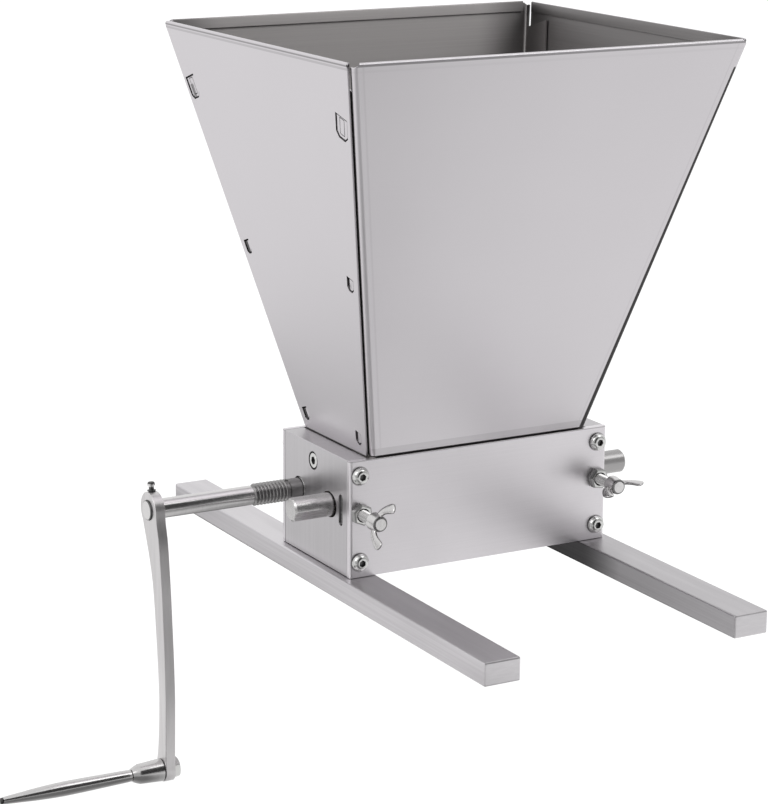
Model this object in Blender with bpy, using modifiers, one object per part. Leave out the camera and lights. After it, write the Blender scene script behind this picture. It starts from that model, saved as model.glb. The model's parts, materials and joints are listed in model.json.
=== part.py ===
"""A two-roller grain mill with a sheet metal hopper, a hand crank and two foot bars.

Metres, +Z up. The rollers run along X, and the crank is at -X. The front plate, with the wing screws,
faces -Y. The origin lies midway between the foot bars, in the plane that they stand on.
"""

import math

import bmesh
import bpy
from mathutils import Matrix, Vector

# Clearances, the overrun that every cut shares, and the distance within which points are joined
SEAT_GAP = 0.0003
RUNNING_GAP = 0.0003
CUT_OVERRUN = 0.002
TURN_WELD = 0.00001
MESH_WELD = 0.000001

# Foot bars
BAR_WIDTH = 0.020
BAR_HEIGHT = 0.012
BAR_LENGTH = 0.3455
BAR_FORWARD_SHIFT = 0.00635
BAR_EDGE_RADIUS = 0.0008

# Frame: two end blocks between a front and a rear plate
FRAME_LENGTH = 0.156
FRAME_DEPTH = 0.0762
FRAME_HEIGHT = 0.0622
PLATE_THICKNESS = 0.003
PLATE_CORNER_RADIUS = 0.0014
BLOCK_THICKNESS = 0.0115
BLOCK_EDGE_CHAMFER = 0.0003

# Button head bolts through the plates
BOLT_DIAMETER = 0.006
BOLT_HEAD_DIAMETER = 0.010
BOLT_HEAD_HEIGHT = 0.003
BOLT_HEAD_FLAT_DIAMETER = 0.0066
BOLT_HEAD_RIM = 0.0005
BOLT_SOCKET_ACROSS = 0.004
BOLT_SOCKET_DEPTH = 0.002
BOLT_REACH = 0.014
BOLT_INSET = 0.0081

# Screws that hold the blocks on the bars
FOOT_SCREW_DIAMETER = 0.005
FOOT_SCREW_HEAD_DIAMETER = 0.0085
FOOT_SCREW_HEAD_HEIGHT = 0.005
FOOT_SCREW_SOCKET_ACROSS = 0.004
FOOT_SCREW_SOCKET_DEPTH = 0.0025
FOOT_SCREW_SETBACK = 0.0061
FOOT_SCREW_REACH = 0.010

# Rollers and their shafts. The rollers fill the frame's depth but for these clearances
ROLLER_REAR_CLEARANCE = 0.0007
ROLLER_FRONT_CLEARANCE = 0.0036
ROLLER_END_CLEARANCE = 0.0015
ROLLER_EDGE_CHAMFER = 0.0008
ROLLER_GAP = 0.0019
ROLLER_AXIS_HEIGHT = 0.0465
DRIVE_SHAFT_DIAMETER = 0.012
DRIVE_SHAFT_RECESS = 0.0003
IDLE_SHAFT_DIAMETER = 0.0125
IDLE_SHAFT_LEFT_REACH = 0.0225
IDLE_SHAFT_RIGHT_REACH = 0.027
IDLE_SHAFT_CHAMFER = 0.0009
IDLE_FLAT_DEPTH = 0.0007
IDLE_FLAT_LENGTH = 0.019
IDLE_FLAT_COUNT = 3

# Bearings of both rollers, set in from the inner faces of the blocks
BEARING_THICKNESS = 0.0072
DRIVE_BUSH_WALL = 0.0017
IDLE_BEARING_WALL = 0.00135
END_HOLE_CLEARANCE = 0.0005

# Travel of the idle roller: nearer to the drive roller and away from it
GAP_CLOSING_TRAVEL = 0.0013
GAP_OPENING_TRAVEL = 0.0014

# Nut plate that each wing screw turns in, let into a slot in the end face
NUT_SLOT_WIDTH = 0.0043
NUT_SLOT_HEIGHT = 0.0168
NUT_SLOT_DEPTH = 0.0102
NUT_SLOT_WALL = 0.0008
NUT_PLATE_RECESS = 0.001

# Wing screws and their lock nuts
WING_SCREW_DIAMETER = 0.006
WING_HUB_REACH = {"left": 0.0203, "right": 0.0222}
WING_HUB_LENGTH = 0.0075
WING_HUB_END_DIAMETER = 0.0086
WING_HUB_BASE_DIAMETER = 0.0098
WING_HUB_CHAMFER = 0.0005
WING_TIP_OUT = 0.0103
WING_TIP_FORWARD = 0.0056
WING_TIP_RADIUS = 0.0025
WING_THICKNESS = 0.0026
WING_ROOT_DEPTH = 0.0062
WING_EDGE_ROUND = 0.0004
WING_TURN = {"left": 59.5, "right": 12.0}
LOCK_NUT_ACROSS = 0.010
LOCK_NUT_THICKNESS = 0.0038
LOCK_NUT_CHAMFER = 0.0005
LOCK_NUT_TURN = {"left": 8.0, "right": 21.0}
NUT_FACE_SHARE = 0.96

# Hopper: how far it stands in from the plates, how much it widens up to its rim, and its height
HOPPER_SETBACK = 0.0009
HOPPER_LENGTH_FLARE = 0.0966
HOPPER_DEPTH_FLARE = 0.1357
HOPPER_HEIGHT = 0.2111
SHEET_THICKNESS = 0.001
SHEET_LAP_GAP = 0.0005
CORNER_BEND_RADIUS = 0.0023
SIDE_SHEET_SETBACK = 0.0037
HEM_DEPTH = 0.006
HEM_GAP = 0.0004
HEM_ROUND = 0.0008
HEM_END_INSET = 0.0012
CORNER_DROP = 0.0026
FLANGE_WIDTH = 0.021
FLANGE_START = 0.0145
FLANGE_STUB_WIDTH = 0.0032
LIP_WIDTH = 0.0075
LIP_BEND_RADIUS = 0.0015
TAIL_WIDTH = 0.016
TAIL_LENGTH = 0.0135
TAIL_CENTRE_BACK = 0.0024

# Shield-shaped slots in the side sheets, and the tabs of the folded sheets that stand in them
TAB_CLEARANCE = 0.0009
TAB_SUNK = 0.0004
LARGE_SLOT = {"start": 0.0315, "length": 0.0126, "near": 0.0025, "width": 0.0111, "corner": 0.0026}
MIDDLE_SLOT = {"start": 0.1222, "length": 0.0079, "near": 0.0042, "width": 0.0064, "corner": 0.0018}
LOW_SLOT = {"start": 0.2158, "length": 0.0075, "near": 0.0042, "width": 0.0057, "corner": 0.0017}

# Screws that hold the hopper's tails to the blocks
TAIL_SCREW_DIAMETER = 0.005
TAIL_SCREW_HEAD_DIAMETER = 0.0085
TAIL_SCREW_HEAD_HEIGHT = 0.0036
TAIL_SCREW_SOCKET_ACROSS = 0.004
TAIL_SCREW_SOCKET_DEPTH = 0.0022
TAIL_SCREW_DROP = 0.009
TAIL_NUT_ACROSS = 0.008
TAIL_NUT_THICKNESS = 0.0027
TAIL_NUT_CHAMFER = 0.0005
TAIL_SCREW_PROUD = 0.0004

# Crank rod, from the mill outwards: spigot, collar, threaded part and thin part
SPIGOT_DIAMETER = 0.008
SPIGOT_LENGTH = 0.012
ROD_COLLAR_DIAMETER = 0.0114
ROD_COLLAR_LENGTH = 0.007
ROD_THREAD_DIAMETER = 0.012
ROD_THREAD_LENGTH = 0.022
ROD_THREAD_CHAMFER = 0.0008
ROD_DIAMETER = 0.0103
ROD_LENGTH = 0.0865
ROD_END_CHAMFER = 0.0005

# Crank arm, a flat bowed strap with an eye at the rod and another at the handle
ARM_THICKNESS = 0.0054
ARM_FACE_REACH = 0.0872
ARM_LENGTH = 0.13869
ARM_LEAN = 4.8
ARM_EYE_DIAMETER = 0.019
ARM_END_DIAMETER = 0.0128
ARM_BOW = 0.0067
ARM_WAIST_WIDTH = 0.0087
ARM_EDGE_ROUND = 0.0005
ARM_STATION_SHARES = (0.045, 0.10, 0.16, 0.235, 0.32, 0.45, 0.60, 0.73, 0.86, 0.94)
ARM_BOW_SHARES = (0.16, 0.43, 0.66, 0.86, 0.98, 1.00, 0.97, 0.84, 0.49, 0.20)
ARM_WIDTH_SHARES = (1.95, 1.84, 1.59, 1.33, 1.18, 1.10, 1.02, 0.98, 1.03, 1.17)

# Set screw on top of the arm's eye
SET_SCREW_DIAMETER = 0.0026
SET_SCREW_HEAD_DIAMETER = 0.004
SET_SCREW_HEAD_HEIGHT = 0.002
SET_SCREW_NECK = 0.0022
SET_SCREW_WASHER_DIAMETER = 0.0044
SET_SCREW_WASHER_THICKNESS = 0.0006
SET_SCREW_LEAN = 8.0

# Handle: collar and nut on the arm, grip that turns on a long bolt
HANDLE_COLLAR_DIAMETER = 0.012
HANDLE_COLLAR_NECK_DIAMETER = 0.0105
HANDLE_COLLAR_LENGTH = 0.0127
HANDLE_CONE_LENGTH = 0.0043
HANDLE_CONE_END_DIAMETER = 0.0068
HANDLE_STUD_DIAMETER = 0.006
HANDLE_NUT_ACROSS = 0.010
HANDLE_NUT_THICKNESS = 0.0032
HANDLE_NUT_CHAMFER = 0.0006
GRIP_LENGTH = 0.0705
GRIP_DIAMETER = 0.0076
GRIP_STATION_SHARES = (0.0, 0.03, 0.13, 0.26, 0.40, 0.53, 0.66, 0.79, 0.91, 0.98, 1.0)
GRIP_DIAMETER_SHARES = (0.80, 0.84, 0.88, 0.93, 0.98, 1.00, 0.93, 0.79, 0.62, 0.53, 0.49)
HANDLE_BOLT_DIAMETER = 0.0018
HANDLE_BOLT_HEAD_DIAMETER = 0.0034
HANDLE_BOLT_HEAD_LENGTH = 0.0013
HANDLE_BOLT_HOLD = 0.008

# How finely round pieces are cut
FINE_SEGMENTS = 40
ROUND_SEGMENTS = 28
SMALL_SEGMENTS = 16
WING_SEGMENTS = 20

# Places that follow from the sizes above
frame_bottom = BAR_HEIGHT + SEAT_GAP
frame_top = frame_bottom + FRAME_HEIGHT
plate_inner = FRAME_DEPTH / 2 - PLATE_THICKNESS
block_depth = 2 * (plate_inner - SEAT_GAP)
block_outer = FRAME_LENGTH / 2
block_inner = block_outer - BLOCK_THICKNESS
block_centre = block_outer - BLOCK_THICKNESS / 2
roller_room = 2 * plate_inner - ROLLER_REAR_CLEARANCE - ROLLER_FRONT_CLEARANCE - ROLLER_GAP
roller_diameter = roller_room / 2
drive_axis_y = plate_inner - ROLLER_REAR_CLEARANCE - roller_diameter / 2
idle_axis_y = drive_axis_y - roller_diameter - ROLLER_GAP
roller_half = block_inner - ROLLER_END_CLEARANCE
bearing_pocket_depth = BEARING_THICKNESS + SEAT_GAP
bearing_centre = block_inner + BEARING_THICKNESS / 2
idle_bearing_side = IDLE_SHAFT_DIAMETER + 2 * (RUNNING_GAP + IDLE_BEARING_WALL)
bearing_front = idle_axis_y - idle_bearing_side / 2
pocket_front = bearing_front - GAP_OPENING_TRAVEL - RUNNING_GAP
nut_slot_centre = pocket_front - NUT_SLOT_WALL - NUT_SLOT_WIDTH / 2
hopper_bottom = frame_top + SEAT_GAP
hopper_top = hopper_bottom + HOPPER_HEIGHT
hopper_bottom_length = 2 * (block_inner - SEAT_GAP)
hopper_bottom_depth = FRAME_DEPTH - 2 * HOPPER_SETBACK
side_slope = HOPPER_LENGTH_FLARE / 2 / HOPPER_HEIGHT
front_slope = HOPPER_DEPTH_FLARE / 2 / HOPPER_HEIGHT
tail_screw_height = frame_top - TAIL_SCREW_DROP

scene = bpy.context.scene
SIDES = {"left": -1, "right": 1}
TURNS = {
    "X": (0, math.pi / 2, 0),
    "-X": (0, -math.pi / 2, 0),
    "Y": (-math.pi / 2, 0, 0),
    "-Y": (math.pi / 2, 0, 0),
    "Z": (0, 0, 0),
    "-Z": (math.pi, 0, 0),
}


def clear_scene():
    for obj in list(bpy.data.objects):
        bpy.data.objects.remove(obj, do_unlink=True)


clear_scene()
parts = bpy.data.collections.new("grain_mill")
cutters = bpy.data.collections.new("cutters")
scene.collection.children.link(parts)
scene.collection.children.link(cutters)


def metal(name, colour, roughness, metallic=1.0):
    """A plain metal: its colour, how rough it is and how metallic."""
    made = bpy.data.materials.new(name)
    made.use_nodes = True
    shader = made.node_tree.nodes["Principled BSDF"]
    shader.inputs["Base Color"].default_value = (*colour, 1.0)
    shader.inputs["Roughness"].default_value = roughness
    shader.inputs["Metallic"].default_value = metallic
    return made


BRUSHED_SHEET = metal("brushed_sheet", (0.62, 0.60, 0.61), 0.38)
SATIN_PLATE = metal("satin_plate", (0.60, 0.59, 0.60), 0.36)
MILLED_BLOCK = metal("milled_block", (0.55, 0.54, 0.55), 0.34)
BAR_STOCK = metal("bar_stock", (0.56, 0.55, 0.55), 0.42)
TURNED_STEEL = metal("turned_steel", (0.58, 0.57, 0.57), 0.28)
ROLLER_STEEL = metal("roller_steel", (0.36, 0.35, 0.34), 0.45)
BRIGHT_ZINC = metal("bright_zinc", (0.72, 0.72, 0.71), 0.2)
CAST_WING = metal("cast_wing", (0.74, 0.73, 0.71), 0.22)
BRONZE = metal("bronze", (0.55, 0.38, 0.18), 0.4)
DARK_STEEL = metal("dark_steel", (0.12, 0.12, 0.12), 0.5)
POLISHED_STEEL = metal("polished_steel", (0.64, 0.63, 0.62), 0.2)


def finish(obj, material, smooth=True):
    """Gives a piece its material, and shades it smooth between sharp edges."""
    obj.data.materials.clear()
    obj.data.materials.append(material)
    if smooth:
        obj.data.shade_smooth()
        obj.data.set_sharp_from_angle(angle=math.radians(30))
    return obj


def add(name, mesh, collection=parts):
    obj = bpy.data.objects.new(name, mesh)
    collection.objects.link(obj)
    if collection is cutters:
        obj.hide_render = True
        obj.display_type = "WIRE"
    return obj


def add_bmesh(name, work, collection=parts):
    mesh = bpy.data.meshes.new(name)
    work.to_mesh(mesh)
    work.free()
    return add(name, mesh, collection)


def place(obj, location, axis="Z"):
    """Stands a piece made along +Z at its place, with its +Z turned to the given axis."""
    obj.location = location
    obj.rotation_euler = TURNS[axis]
    return obj


def box(name, low, high, collection=parts):
    """A box between two corners, with its origin at its middle."""
    low, high = Vector(low), Vector(high)
    work = bmesh.new()
    bmesh.ops.create_cube(work, size=1)
    bmesh.ops.scale(work, vec=high - low, verts=work.verts)
    obj = add_bmesh(name, work, collection)
    obj.location = (low + high) / 2
    return obj


def rod(name, radius, start, end, location, axis, segments=ROUND_SEGMENTS, collection=cutters):
    """A straight cylinder along an axis, from start to end as measured from its location."""
    work = bmesh.new()
    bmesh.ops.create_cone(
        work, cap_ends=True, segments=segments, radius1=radius, radius2=radius, depth=end - start
    )
    bmesh.ops.translate(work, vec=(0, 0, (start + end) / 2), verts=work.verts)
    return place(add_bmesh(name, work, collection), location, axis)


def turned(name, profile, location, axis, segments=ROUND_SEGMENTS, collection=parts, ring=False):
    """A turned piece. The profile holds (radius, distance along the axis) and runs down the outside."""
    mesh = bpy.data.meshes.new(name)
    points = [(radius, 0, along) for radius, along in profile]
    edges = [(index, index + 1) for index in range(len(points) - 1)]
    if ring:
        edges.append((len(points) - 1, 0))
    mesh.from_pydata(points, edges, [])
    obj = place(add(name, mesh, collection), location, axis)
    screw = obj.modifiers.new("turn", "SCREW")
    screw.axis = "Z"
    screw.steps = segments
    screw.render_steps = segments
    screw.use_merge_vertices = True
    screw.merge_threshold = TURN_WELD
    screw.use_smooth_shade = True
    return obj


def as_mesh(obj):
    """Replaces a curve, or a piece with modifiers, by the mesh that it shows."""
    bpy.context.view_layer.update()
    graph = bpy.context.evaluated_depsgraph_get()
    mesh = bpy.data.meshes.new_from_object(obj.evaluated_get(graph))
    work = bmesh.new()
    work.from_mesh(mesh)
    bmesh.ops.remove_doubles(work, verts=work.verts, dist=MESH_WELD)
    work.to_mesh(mesh)
    work.free()
    name, world = obj.name, obj.matrix_world.copy()
    collection = obj.users_collection[0]
    bpy.data.objects.remove(obj, do_unlink=True)
    made = add(name, mesh, collection)
    made.matrix_world = world
    return made


def outline(name, points, thickness, frame=None, collection=parts):
    """A flat plate of the given thickness, centred on a closed outline in the XY plane of a frame."""
    curve = bpy.data.curves.new(name, "CURVE")
    curve.dimensions = "2D"
    curve.fill_mode = "BOTH"
    curve.extrude = thickness / 2
    spline = curve.splines.new("POLY")
    spline.points.add(len(points) - 1)
    for point, (across, up) in zip(spline.points, points):
        point.co = (across, up, 0, 1)
    spline.use_cyclic_u = True
    obj = add(name, curve, collection)
    if frame is not None:
        obj.matrix_world = frame
    return as_mesh(obj)


def frame_of(across, up, normal, origin):
    """A frame from its three directions and its origin."""
    frame = Matrix.Identity(4)
    for column, vector in enumerate((across, up, normal, origin)):
        for row in range(3):
            frame[row][column] = vector[row]
    return frame


def frame_across(x):
    """The frame of an outline drawn in Y and Z, at a place along X."""
    return frame_of((0, 1, 0), (0, 0, 1), (1, 0, 0), (x, 0, 0))


def arc(centre, radius, start, end, steps):
    """Points on an arc, in degrees, both ends included."""
    turn = [math.radians(start + (end - start) * step / steps) for step in range(steps + 1)]
    return [(centre[0] + radius * math.cos(a), centre[1] + radius * math.sin(a)) for a in turn]


def hexagon(across, turn=0.0):
    """Corners of a hexagon by its size across the flats, turned by some degrees."""
    return arc((0, 0), across / math.sqrt(3), turn, turn + 300, 5)


def hex_socket(name, across, depth, location, axis):
    """Cutter for a hex socket whose mouth is at the location, opening along the axis."""
    obj = outline(name, hexagon(across), depth + CUT_OVERRUN, collection=cutters)
    place(obj, location, axis)
    outward = obj.rotation_euler.to_matrix() @ Vector((0, 0, 1))
    obj.location = Vector(location) + outward * (CUT_OVERRUN - depth) / 2
    return obj


def boolean(obj, other, operation="DIFFERENCE"):
    modifier = obj.modifiers.new(operation.lower(), "BOOLEAN")
    modifier.operation = operation
    modifier.solver = "EXACT"
    modifier.object = other
    return modifier


def bevel(obj, width, segments=2, angle=35.0):
    modifier = obj.modifiers.new("round_edges", "BEVEL")
    modifier.width = width
    modifier.segments = segments
    modifier.limit_method = "ANGLE"
    modifier.angle_limit = math.radians(angle)
    return modifier


def side_axis(sign):
    """The name of the axis that points out of the mill on one side."""
    return "X" if sign > 0 else "-X"


# Foot bars

def make_foot_bar(side):
    sign = SIDES[side]
    centre = sign * block_centre
    bar = box(
        f"foot_bar_{side}",
        (centre - BAR_WIDTH / 2, -BAR_LENGTH / 2 - BAR_FORWARD_SHIFT, 0),
        (centre + BAR_WIDTH / 2, BAR_LENGTH / 2 - BAR_FORWARD_SHIFT, BAR_HEIGHT),
    )
    bevel(bar, BAR_EDGE_RADIUS)
    for end, y in foot_screw_places():
        hole = rod(
            f"cut_bar_{side}_{end}",
            FOOT_SCREW_DIAMETER / 2 + SEAT_GAP,
            -CUT_OVERRUN,
            BAR_HEIGHT + CUT_OVERRUN,
            (centre, y, 0),
            "Z",
            SMALL_SEGMENTS,
        )
        boolean(bar, hole)
        sink = rod(
            f"cut_bar_head_{side}_{end}",
            FOOT_SCREW_HEAD_DIAMETER / 2 + SEAT_GAP,
            -CUT_OVERRUN,
            FOOT_SCREW_HEAD_HEIGHT + 2 * SEAT_GAP,
            (centre, y, 0),
            "Z",
            SMALL_SEGMENTS,
        )
        boolean(bar, sink)
        make_foot_screw(side, end, centre, y)
    return finish(bar, BAR_STOCK)


def foot_screw_places():
    """Name and y of each screw in a bar, set in from the tips of the plates' bolts."""
    back = FRAME_DEPTH / 2 - PLATE_THICKNESS - BOLT_REACH - FOOT_SCREW_SETBACK
    return (("front", -back), ("rear", back))


def make_foot_screw(side, end, x, y):
    """Socket head screw, up through the bar into the block, with its head let into the bar."""
    head = FOOT_SCREW_HEAD_DIAMETER / 2
    shank = FOOT_SCREW_DIAMETER / 2
    tip = frame_bottom + FOOT_SCREW_REACH
    screw = turned(
        f"foot_screw_{side}_{end}",
        [
            (0, tip),
            (shank, tip),
            (shank, FOOT_SCREW_HEAD_HEIGHT + SEAT_GAP),
            (head, FOOT_SCREW_HEAD_HEIGHT + SEAT_GAP),
            (head, SEAT_GAP),
            (0, SEAT_GAP),
        ],
        (x, y, 0),
        "Z",
        SMALL_SEGMENTS,
    )
    socket = hex_socket(
        f"cut_foot_socket_{side}_{end}",
        FOOT_SCREW_SOCKET_ACROSS,
        FOOT_SCREW_SOCKET_DEPTH,
        (x, y, SEAT_GAP),
        "-Z",
    )
    boolean(screw, socket)
    return finish(screw, BRIGHT_ZINC)


# Front and rear plates with their bolts

def bolt_places():
    """Name, x and z of each bolt in a plate."""
    low = frame_bottom + BOLT_INSET
    high = frame_top - BOLT_INSET
    return [
        (f"{side}_{level}", sign * block_centre, z)
        for side, sign in SIDES.items()
        for level, z in (("lower", low), ("upper", high))
    ]


def make_plate(face):
    toward = -1 if face == "front" else 1
    inner, outer = sorted((toward * plate_inner, toward * FRAME_DEPTH / 2))
    plate = box(
        f"{face}_plate",
        (-FRAME_LENGTH / 2, inner, frame_bottom),
        (FRAME_LENGTH / 2, outer, frame_top),
    )
    work = bmesh.new()
    work.from_mesh(plate.data)
    outside = [
        edge
        for edge in work.edges
        if all(vert.co.y * toward > 0 for vert in edge.verts)
        and abs(edge.verts[0].co.x - edge.verts[1].co.x) < PLATE_THICKNESS / 2
    ]
    bmesh.ops.bevel(
        work, geom=outside, offset=PLATE_CORNER_RADIUS, segments=4, profile=0.5, affect="EDGES"
    )
    work.to_mesh(plate.data)
    work.free()
    axis = "-Y" if face == "front" else "Y"
    for name, x, z in bolt_places():
        hole = rod(
            f"cut_{face}_plate_{name}",
            BOLT_DIAMETER / 2 + SEAT_GAP,
            -PLATE_THICKNESS - CUT_OVERRUN,
            CUT_OVERRUN,
            (x, toward * FRAME_DEPTH / 2, z),
            axis,
            SMALL_SEGMENTS,
        )
        boolean(plate, hole)
        make_plate_bolt(face, toward, name, x, z)
    if face == "front":
        for side, sign in SIDES.items():
            hole = rod(
                f"cut_front_plate_wing_{side}",
                WING_SCREW_DIAMETER / 2 + RUNNING_GAP,
                -PLATE_THICKNESS - CUT_OVERRUN,
                CUT_OVERRUN,
                (sign * block_centre, -FRAME_DEPTH / 2, ROLLER_AXIS_HEIGHT),
                "-Y",
                SMALL_SEGMENTS,
            )
            boolean(plate, hole)
    return finish(plate, SATIN_PLATE)


def dome(rim_radius, flat_radius, bottom, top, steps):
    """Profile of a rounded head, from its flat top out and down to its rim."""
    points = []
    for step in range(steps + 1):
        angle = math.radians(90 - 90 * step / steps)
        radius = flat_radius + (rim_radius - flat_radius) * math.cos(angle)
        points.append((radius, bottom + (top - bottom) * math.sin(angle)))
    return points


def make_plate_bolt(face, toward, name, x, z):
    """Button head bolt with a hex socket, threaded into the end block."""
    axis = "-Y" if face == "front" else "Y"
    shank = BOLT_DIAMETER / 2
    head_top = SEAT_GAP + BOLT_HEAD_HEIGHT
    profile = [(0, head_top)]
    profile += dome(
        BOLT_HEAD_DIAMETER / 2, BOLT_HEAD_FLAT_DIAMETER / 2, SEAT_GAP + BOLT_HEAD_RIM, head_top, 4
    )
    profile += [
        (BOLT_HEAD_DIAMETER / 2, SEAT_GAP),
        (shank, SEAT_GAP),
        (shank, -PLATE_THICKNESS - BOLT_REACH),
        (0, -PLATE_THICKNESS - BOLT_REACH),
    ]
    place_of_head = (x, toward * FRAME_DEPTH / 2, z)
    bolt = turned(f"{face}_bolt_{name}", profile, place_of_head, axis, SMALL_SEGMENTS)
    mouth = (x, toward * (FRAME_DEPTH / 2 + head_top), z)
    socket = hex_socket(
        f"cut_{face}_socket_{name}", BOLT_SOCKET_ACROSS, BOLT_SOCKET_DEPTH, mouth, axis
    )
    boolean(bolt, socket)
    return finish(bolt, BRIGHT_ZINC)


# End blocks, bored for both rollers, slotted for the nut plate and drilled for every screw

def make_end_block(side):
    sign = SIDES[side]
    axis = side_axis(sign)
    low, high = sorted((sign * block_inner, sign * block_outer))
    block = box(
        f"end_block_{side}", (low, -block_depth / 2, frame_bottom), (high, block_depth / 2, frame_top)
    )
    bevel(block, BLOCK_EDGE_CHAMFER, 1)
    inner = sign * block_inner
    outer = sign * block_outer
    pocket_end = bearing_pocket_depth

    # drive shaft: pocket for the bush and a clear hole to the outside
    boolean(block, rod(
        f"cut_bush_pocket_{side}",
        DRIVE_SHAFT_DIAMETER / 2 + RUNNING_GAP + DRIVE_BUSH_WALL + SEAT_GAP,
        -CUT_OVERRUN,
        pocket_end,
        (inner, drive_axis_y, ROLLER_AXIS_HEIGHT),
        axis,
    ))
    boolean(block, rod(
        f"cut_drive_hole_{side}",
        DRIVE_SHAFT_DIAMETER / 2 + END_HOLE_CLEARANCE,
        -CUT_OVERRUN,
        BLOCK_THICKNESS + CUT_OVERRUN,
        (inner, drive_axis_y, ROLLER_AXIS_HEIGHT),
        axis,
    ))

    # idle shaft: square pocket in which its bearing slides, and a long hole to the outside
    half = idle_bearing_side / 2
    first, last = sorted((inner - sign * CUT_OVERRUN, inner + sign * pocket_end))
    boolean(block, box(
        f"cut_idle_pocket_{side}",
        (first, pocket_front, ROLLER_AXIS_HEIGHT - half - RUNNING_GAP),
        (
            last,
            idle_axis_y + half + GAP_CLOSING_TRAVEL + RUNNING_GAP,
            ROLLER_AXIS_HEIGHT + half + RUNNING_GAP,
        ),
        cutters,
    ))
    hole_radius = IDLE_SHAFT_DIAMETER / 2 + RUNNING_GAP
    travel = (idle_axis_y - GAP_OPENING_TRAVEL, idle_axis_y + GAP_CLOSING_TRAVEL)
    long_hole = outline(
        f"cut_idle_hole_{side}",
        arc((travel[0], ROLLER_AXIS_HEIGHT), hole_radius, 90, 270, 16)
        + arc((travel[1], ROLLER_AXIS_HEIGHT), hole_radius, -90, 90, 16),
        BLOCK_THICKNESS + 2 * CUT_OVERRUN,
        collection=cutters,
    )
    long_hole.matrix_world = frame_across(sign * block_centre)
    boolean(block, long_hole)

    # slot for the nut plate, open on the end face, with round ends
    slot_radius = NUT_SLOT_WIDTH / 2
    slot_reach = NUT_SLOT_HEIGHT / 2 - slot_radius
    slot = outline(
        f"cut_nut_slot_{side}",
        arc((nut_slot_centre, ROLLER_AXIS_HEIGHT + slot_reach), slot_radius, 0, 180, 10)
        + arc((nut_slot_centre, ROLLER_AXIS_HEIGHT - slot_reach), slot_radius, 180, 360, 10),
        NUT_SLOT_DEPTH + CUT_OVERRUN,
        collection=cutters,
    )
    slot.matrix_world = frame_across(outer + sign * (CUT_OVERRUN - NUT_SLOT_DEPTH) / 2)
    boolean(block, slot)

    # wing screw, from the front face through the slot into the pocket
    boolean(block, rod(
        f"cut_wing_hole_{side}",
        WING_SCREW_DIAMETER / 2 + RUNNING_GAP,
        -CUT_OVERRUN,
        block_depth / 2 + pocket_front + CUT_OVERRUN,
        (sign * block_centre, -block_depth / 2, ROLLER_AXIS_HEIGHT),
        "Y",
        SMALL_SEGMENTS,
    ))

    # plate bolts and foot screws
    for face, toward in (("front", -1), ("rear", 1)):
        for name, x, z in bolt_places():
            if name.startswith(side):
                boolean(block, rod(
                    f"cut_block_{face}_{name}",
                    BOLT_DIAMETER / 2 + SEAT_GAP,
                    -CUT_OVERRUN,
                    BOLT_REACH + SEAT_GAP,
                    (x, toward * block_depth / 2, z),
                    "Y" if toward < 0 else "-Y",
                    SMALL_SEGMENTS,
                ))
    for end, y in foot_screw_places():
        boolean(block, rod(
            f"cut_block_foot_{side}_{end}",
            FOOT_SCREW_DIAMETER / 2 + SEAT_GAP,
            -CUT_OVERRUN,
            FOOT_SCREW_REACH + SEAT_GAP,
            (sign * block_centre, y, frame_bottom),
            "Z",
            SMALL_SEGMENTS,
        ))

    # screw that holds the hopper's tail, with its head let into the end face
    boolean(block, rod(
        f"cut_tail_hole_{side}",
        TAIL_SCREW_DIAMETER / 2 + SEAT_GAP,
        -BLOCK_THICKNESS - CUT_OVERRUN,
        CUT_OVERRUN,
        (outer, TAIL_CENTRE_BACK, tail_screw_height),
        axis,
        SMALL_SEGMENTS,
    ))
    boolean(block, rod(
        f"cut_tail_head_{side}",
        TAIL_SCREW_HEAD_DIAMETER / 2 + SEAT_GAP,
        -TAIL_SCREW_HEAD_HEIGHT - SEAT_GAP,
        CUT_OVERRUN,
        (outer, TAIL_CENTRE_BACK, tail_screw_height),
        axis,
        SMALL_SEGMENTS,
    ))
    return finish(block, MILLED_BLOCK)


def make_drive_bush(side):
    """Bronze bush in its pocket, round the drive shaft."""
    sign = SIDES[side]
    bore = DRIVE_SHAFT_DIAMETER / 2 + RUNNING_GAP
    body = bore + DRIVE_BUSH_WALL
    half = BEARING_THICKNESS / 2
    bush = turned(
        f"drive_bush_{side}",
        [(body, half), (body, -half), (bore, -half), (bore, half)],
        (sign * bearing_centre, drive_axis_y, ROLLER_AXIS_HEIGHT),
        "X",
        ring=True,
    )
    return finish(bush, BRONZE)


def make_idle_bearing(side):
    """Square bronze bearing that slides in the block and carries the idle shaft."""
    sign = SIDES[side]
    half = idle_bearing_side / 2
    low, high = sorted((sign * block_inner, sign * (block_inner + BEARING_THICKNESS)))
    bearing = box(
        f"idle_bearing_{side}",
        (low, idle_axis_y - half, ROLLER_AXIS_HEIGHT - half),
        (high, idle_axis_y + half, ROLLER_AXIS_HEIGHT + half),
    )
    boolean(bearing, rod(
        f"cut_idle_bore_{side}",
        IDLE_SHAFT_DIAMETER / 2 + RUNNING_GAP,
        -BEARING_THICKNESS / 2 - CUT_OVERRUN,
        BEARING_THICKNESS / 2 + CUT_OVERRUN,
        (sign * bearing_centre, idle_axis_y, ROLLER_AXIS_HEIGHT),
        "X",
    ))
    return finish(bearing, BRONZE)


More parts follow.
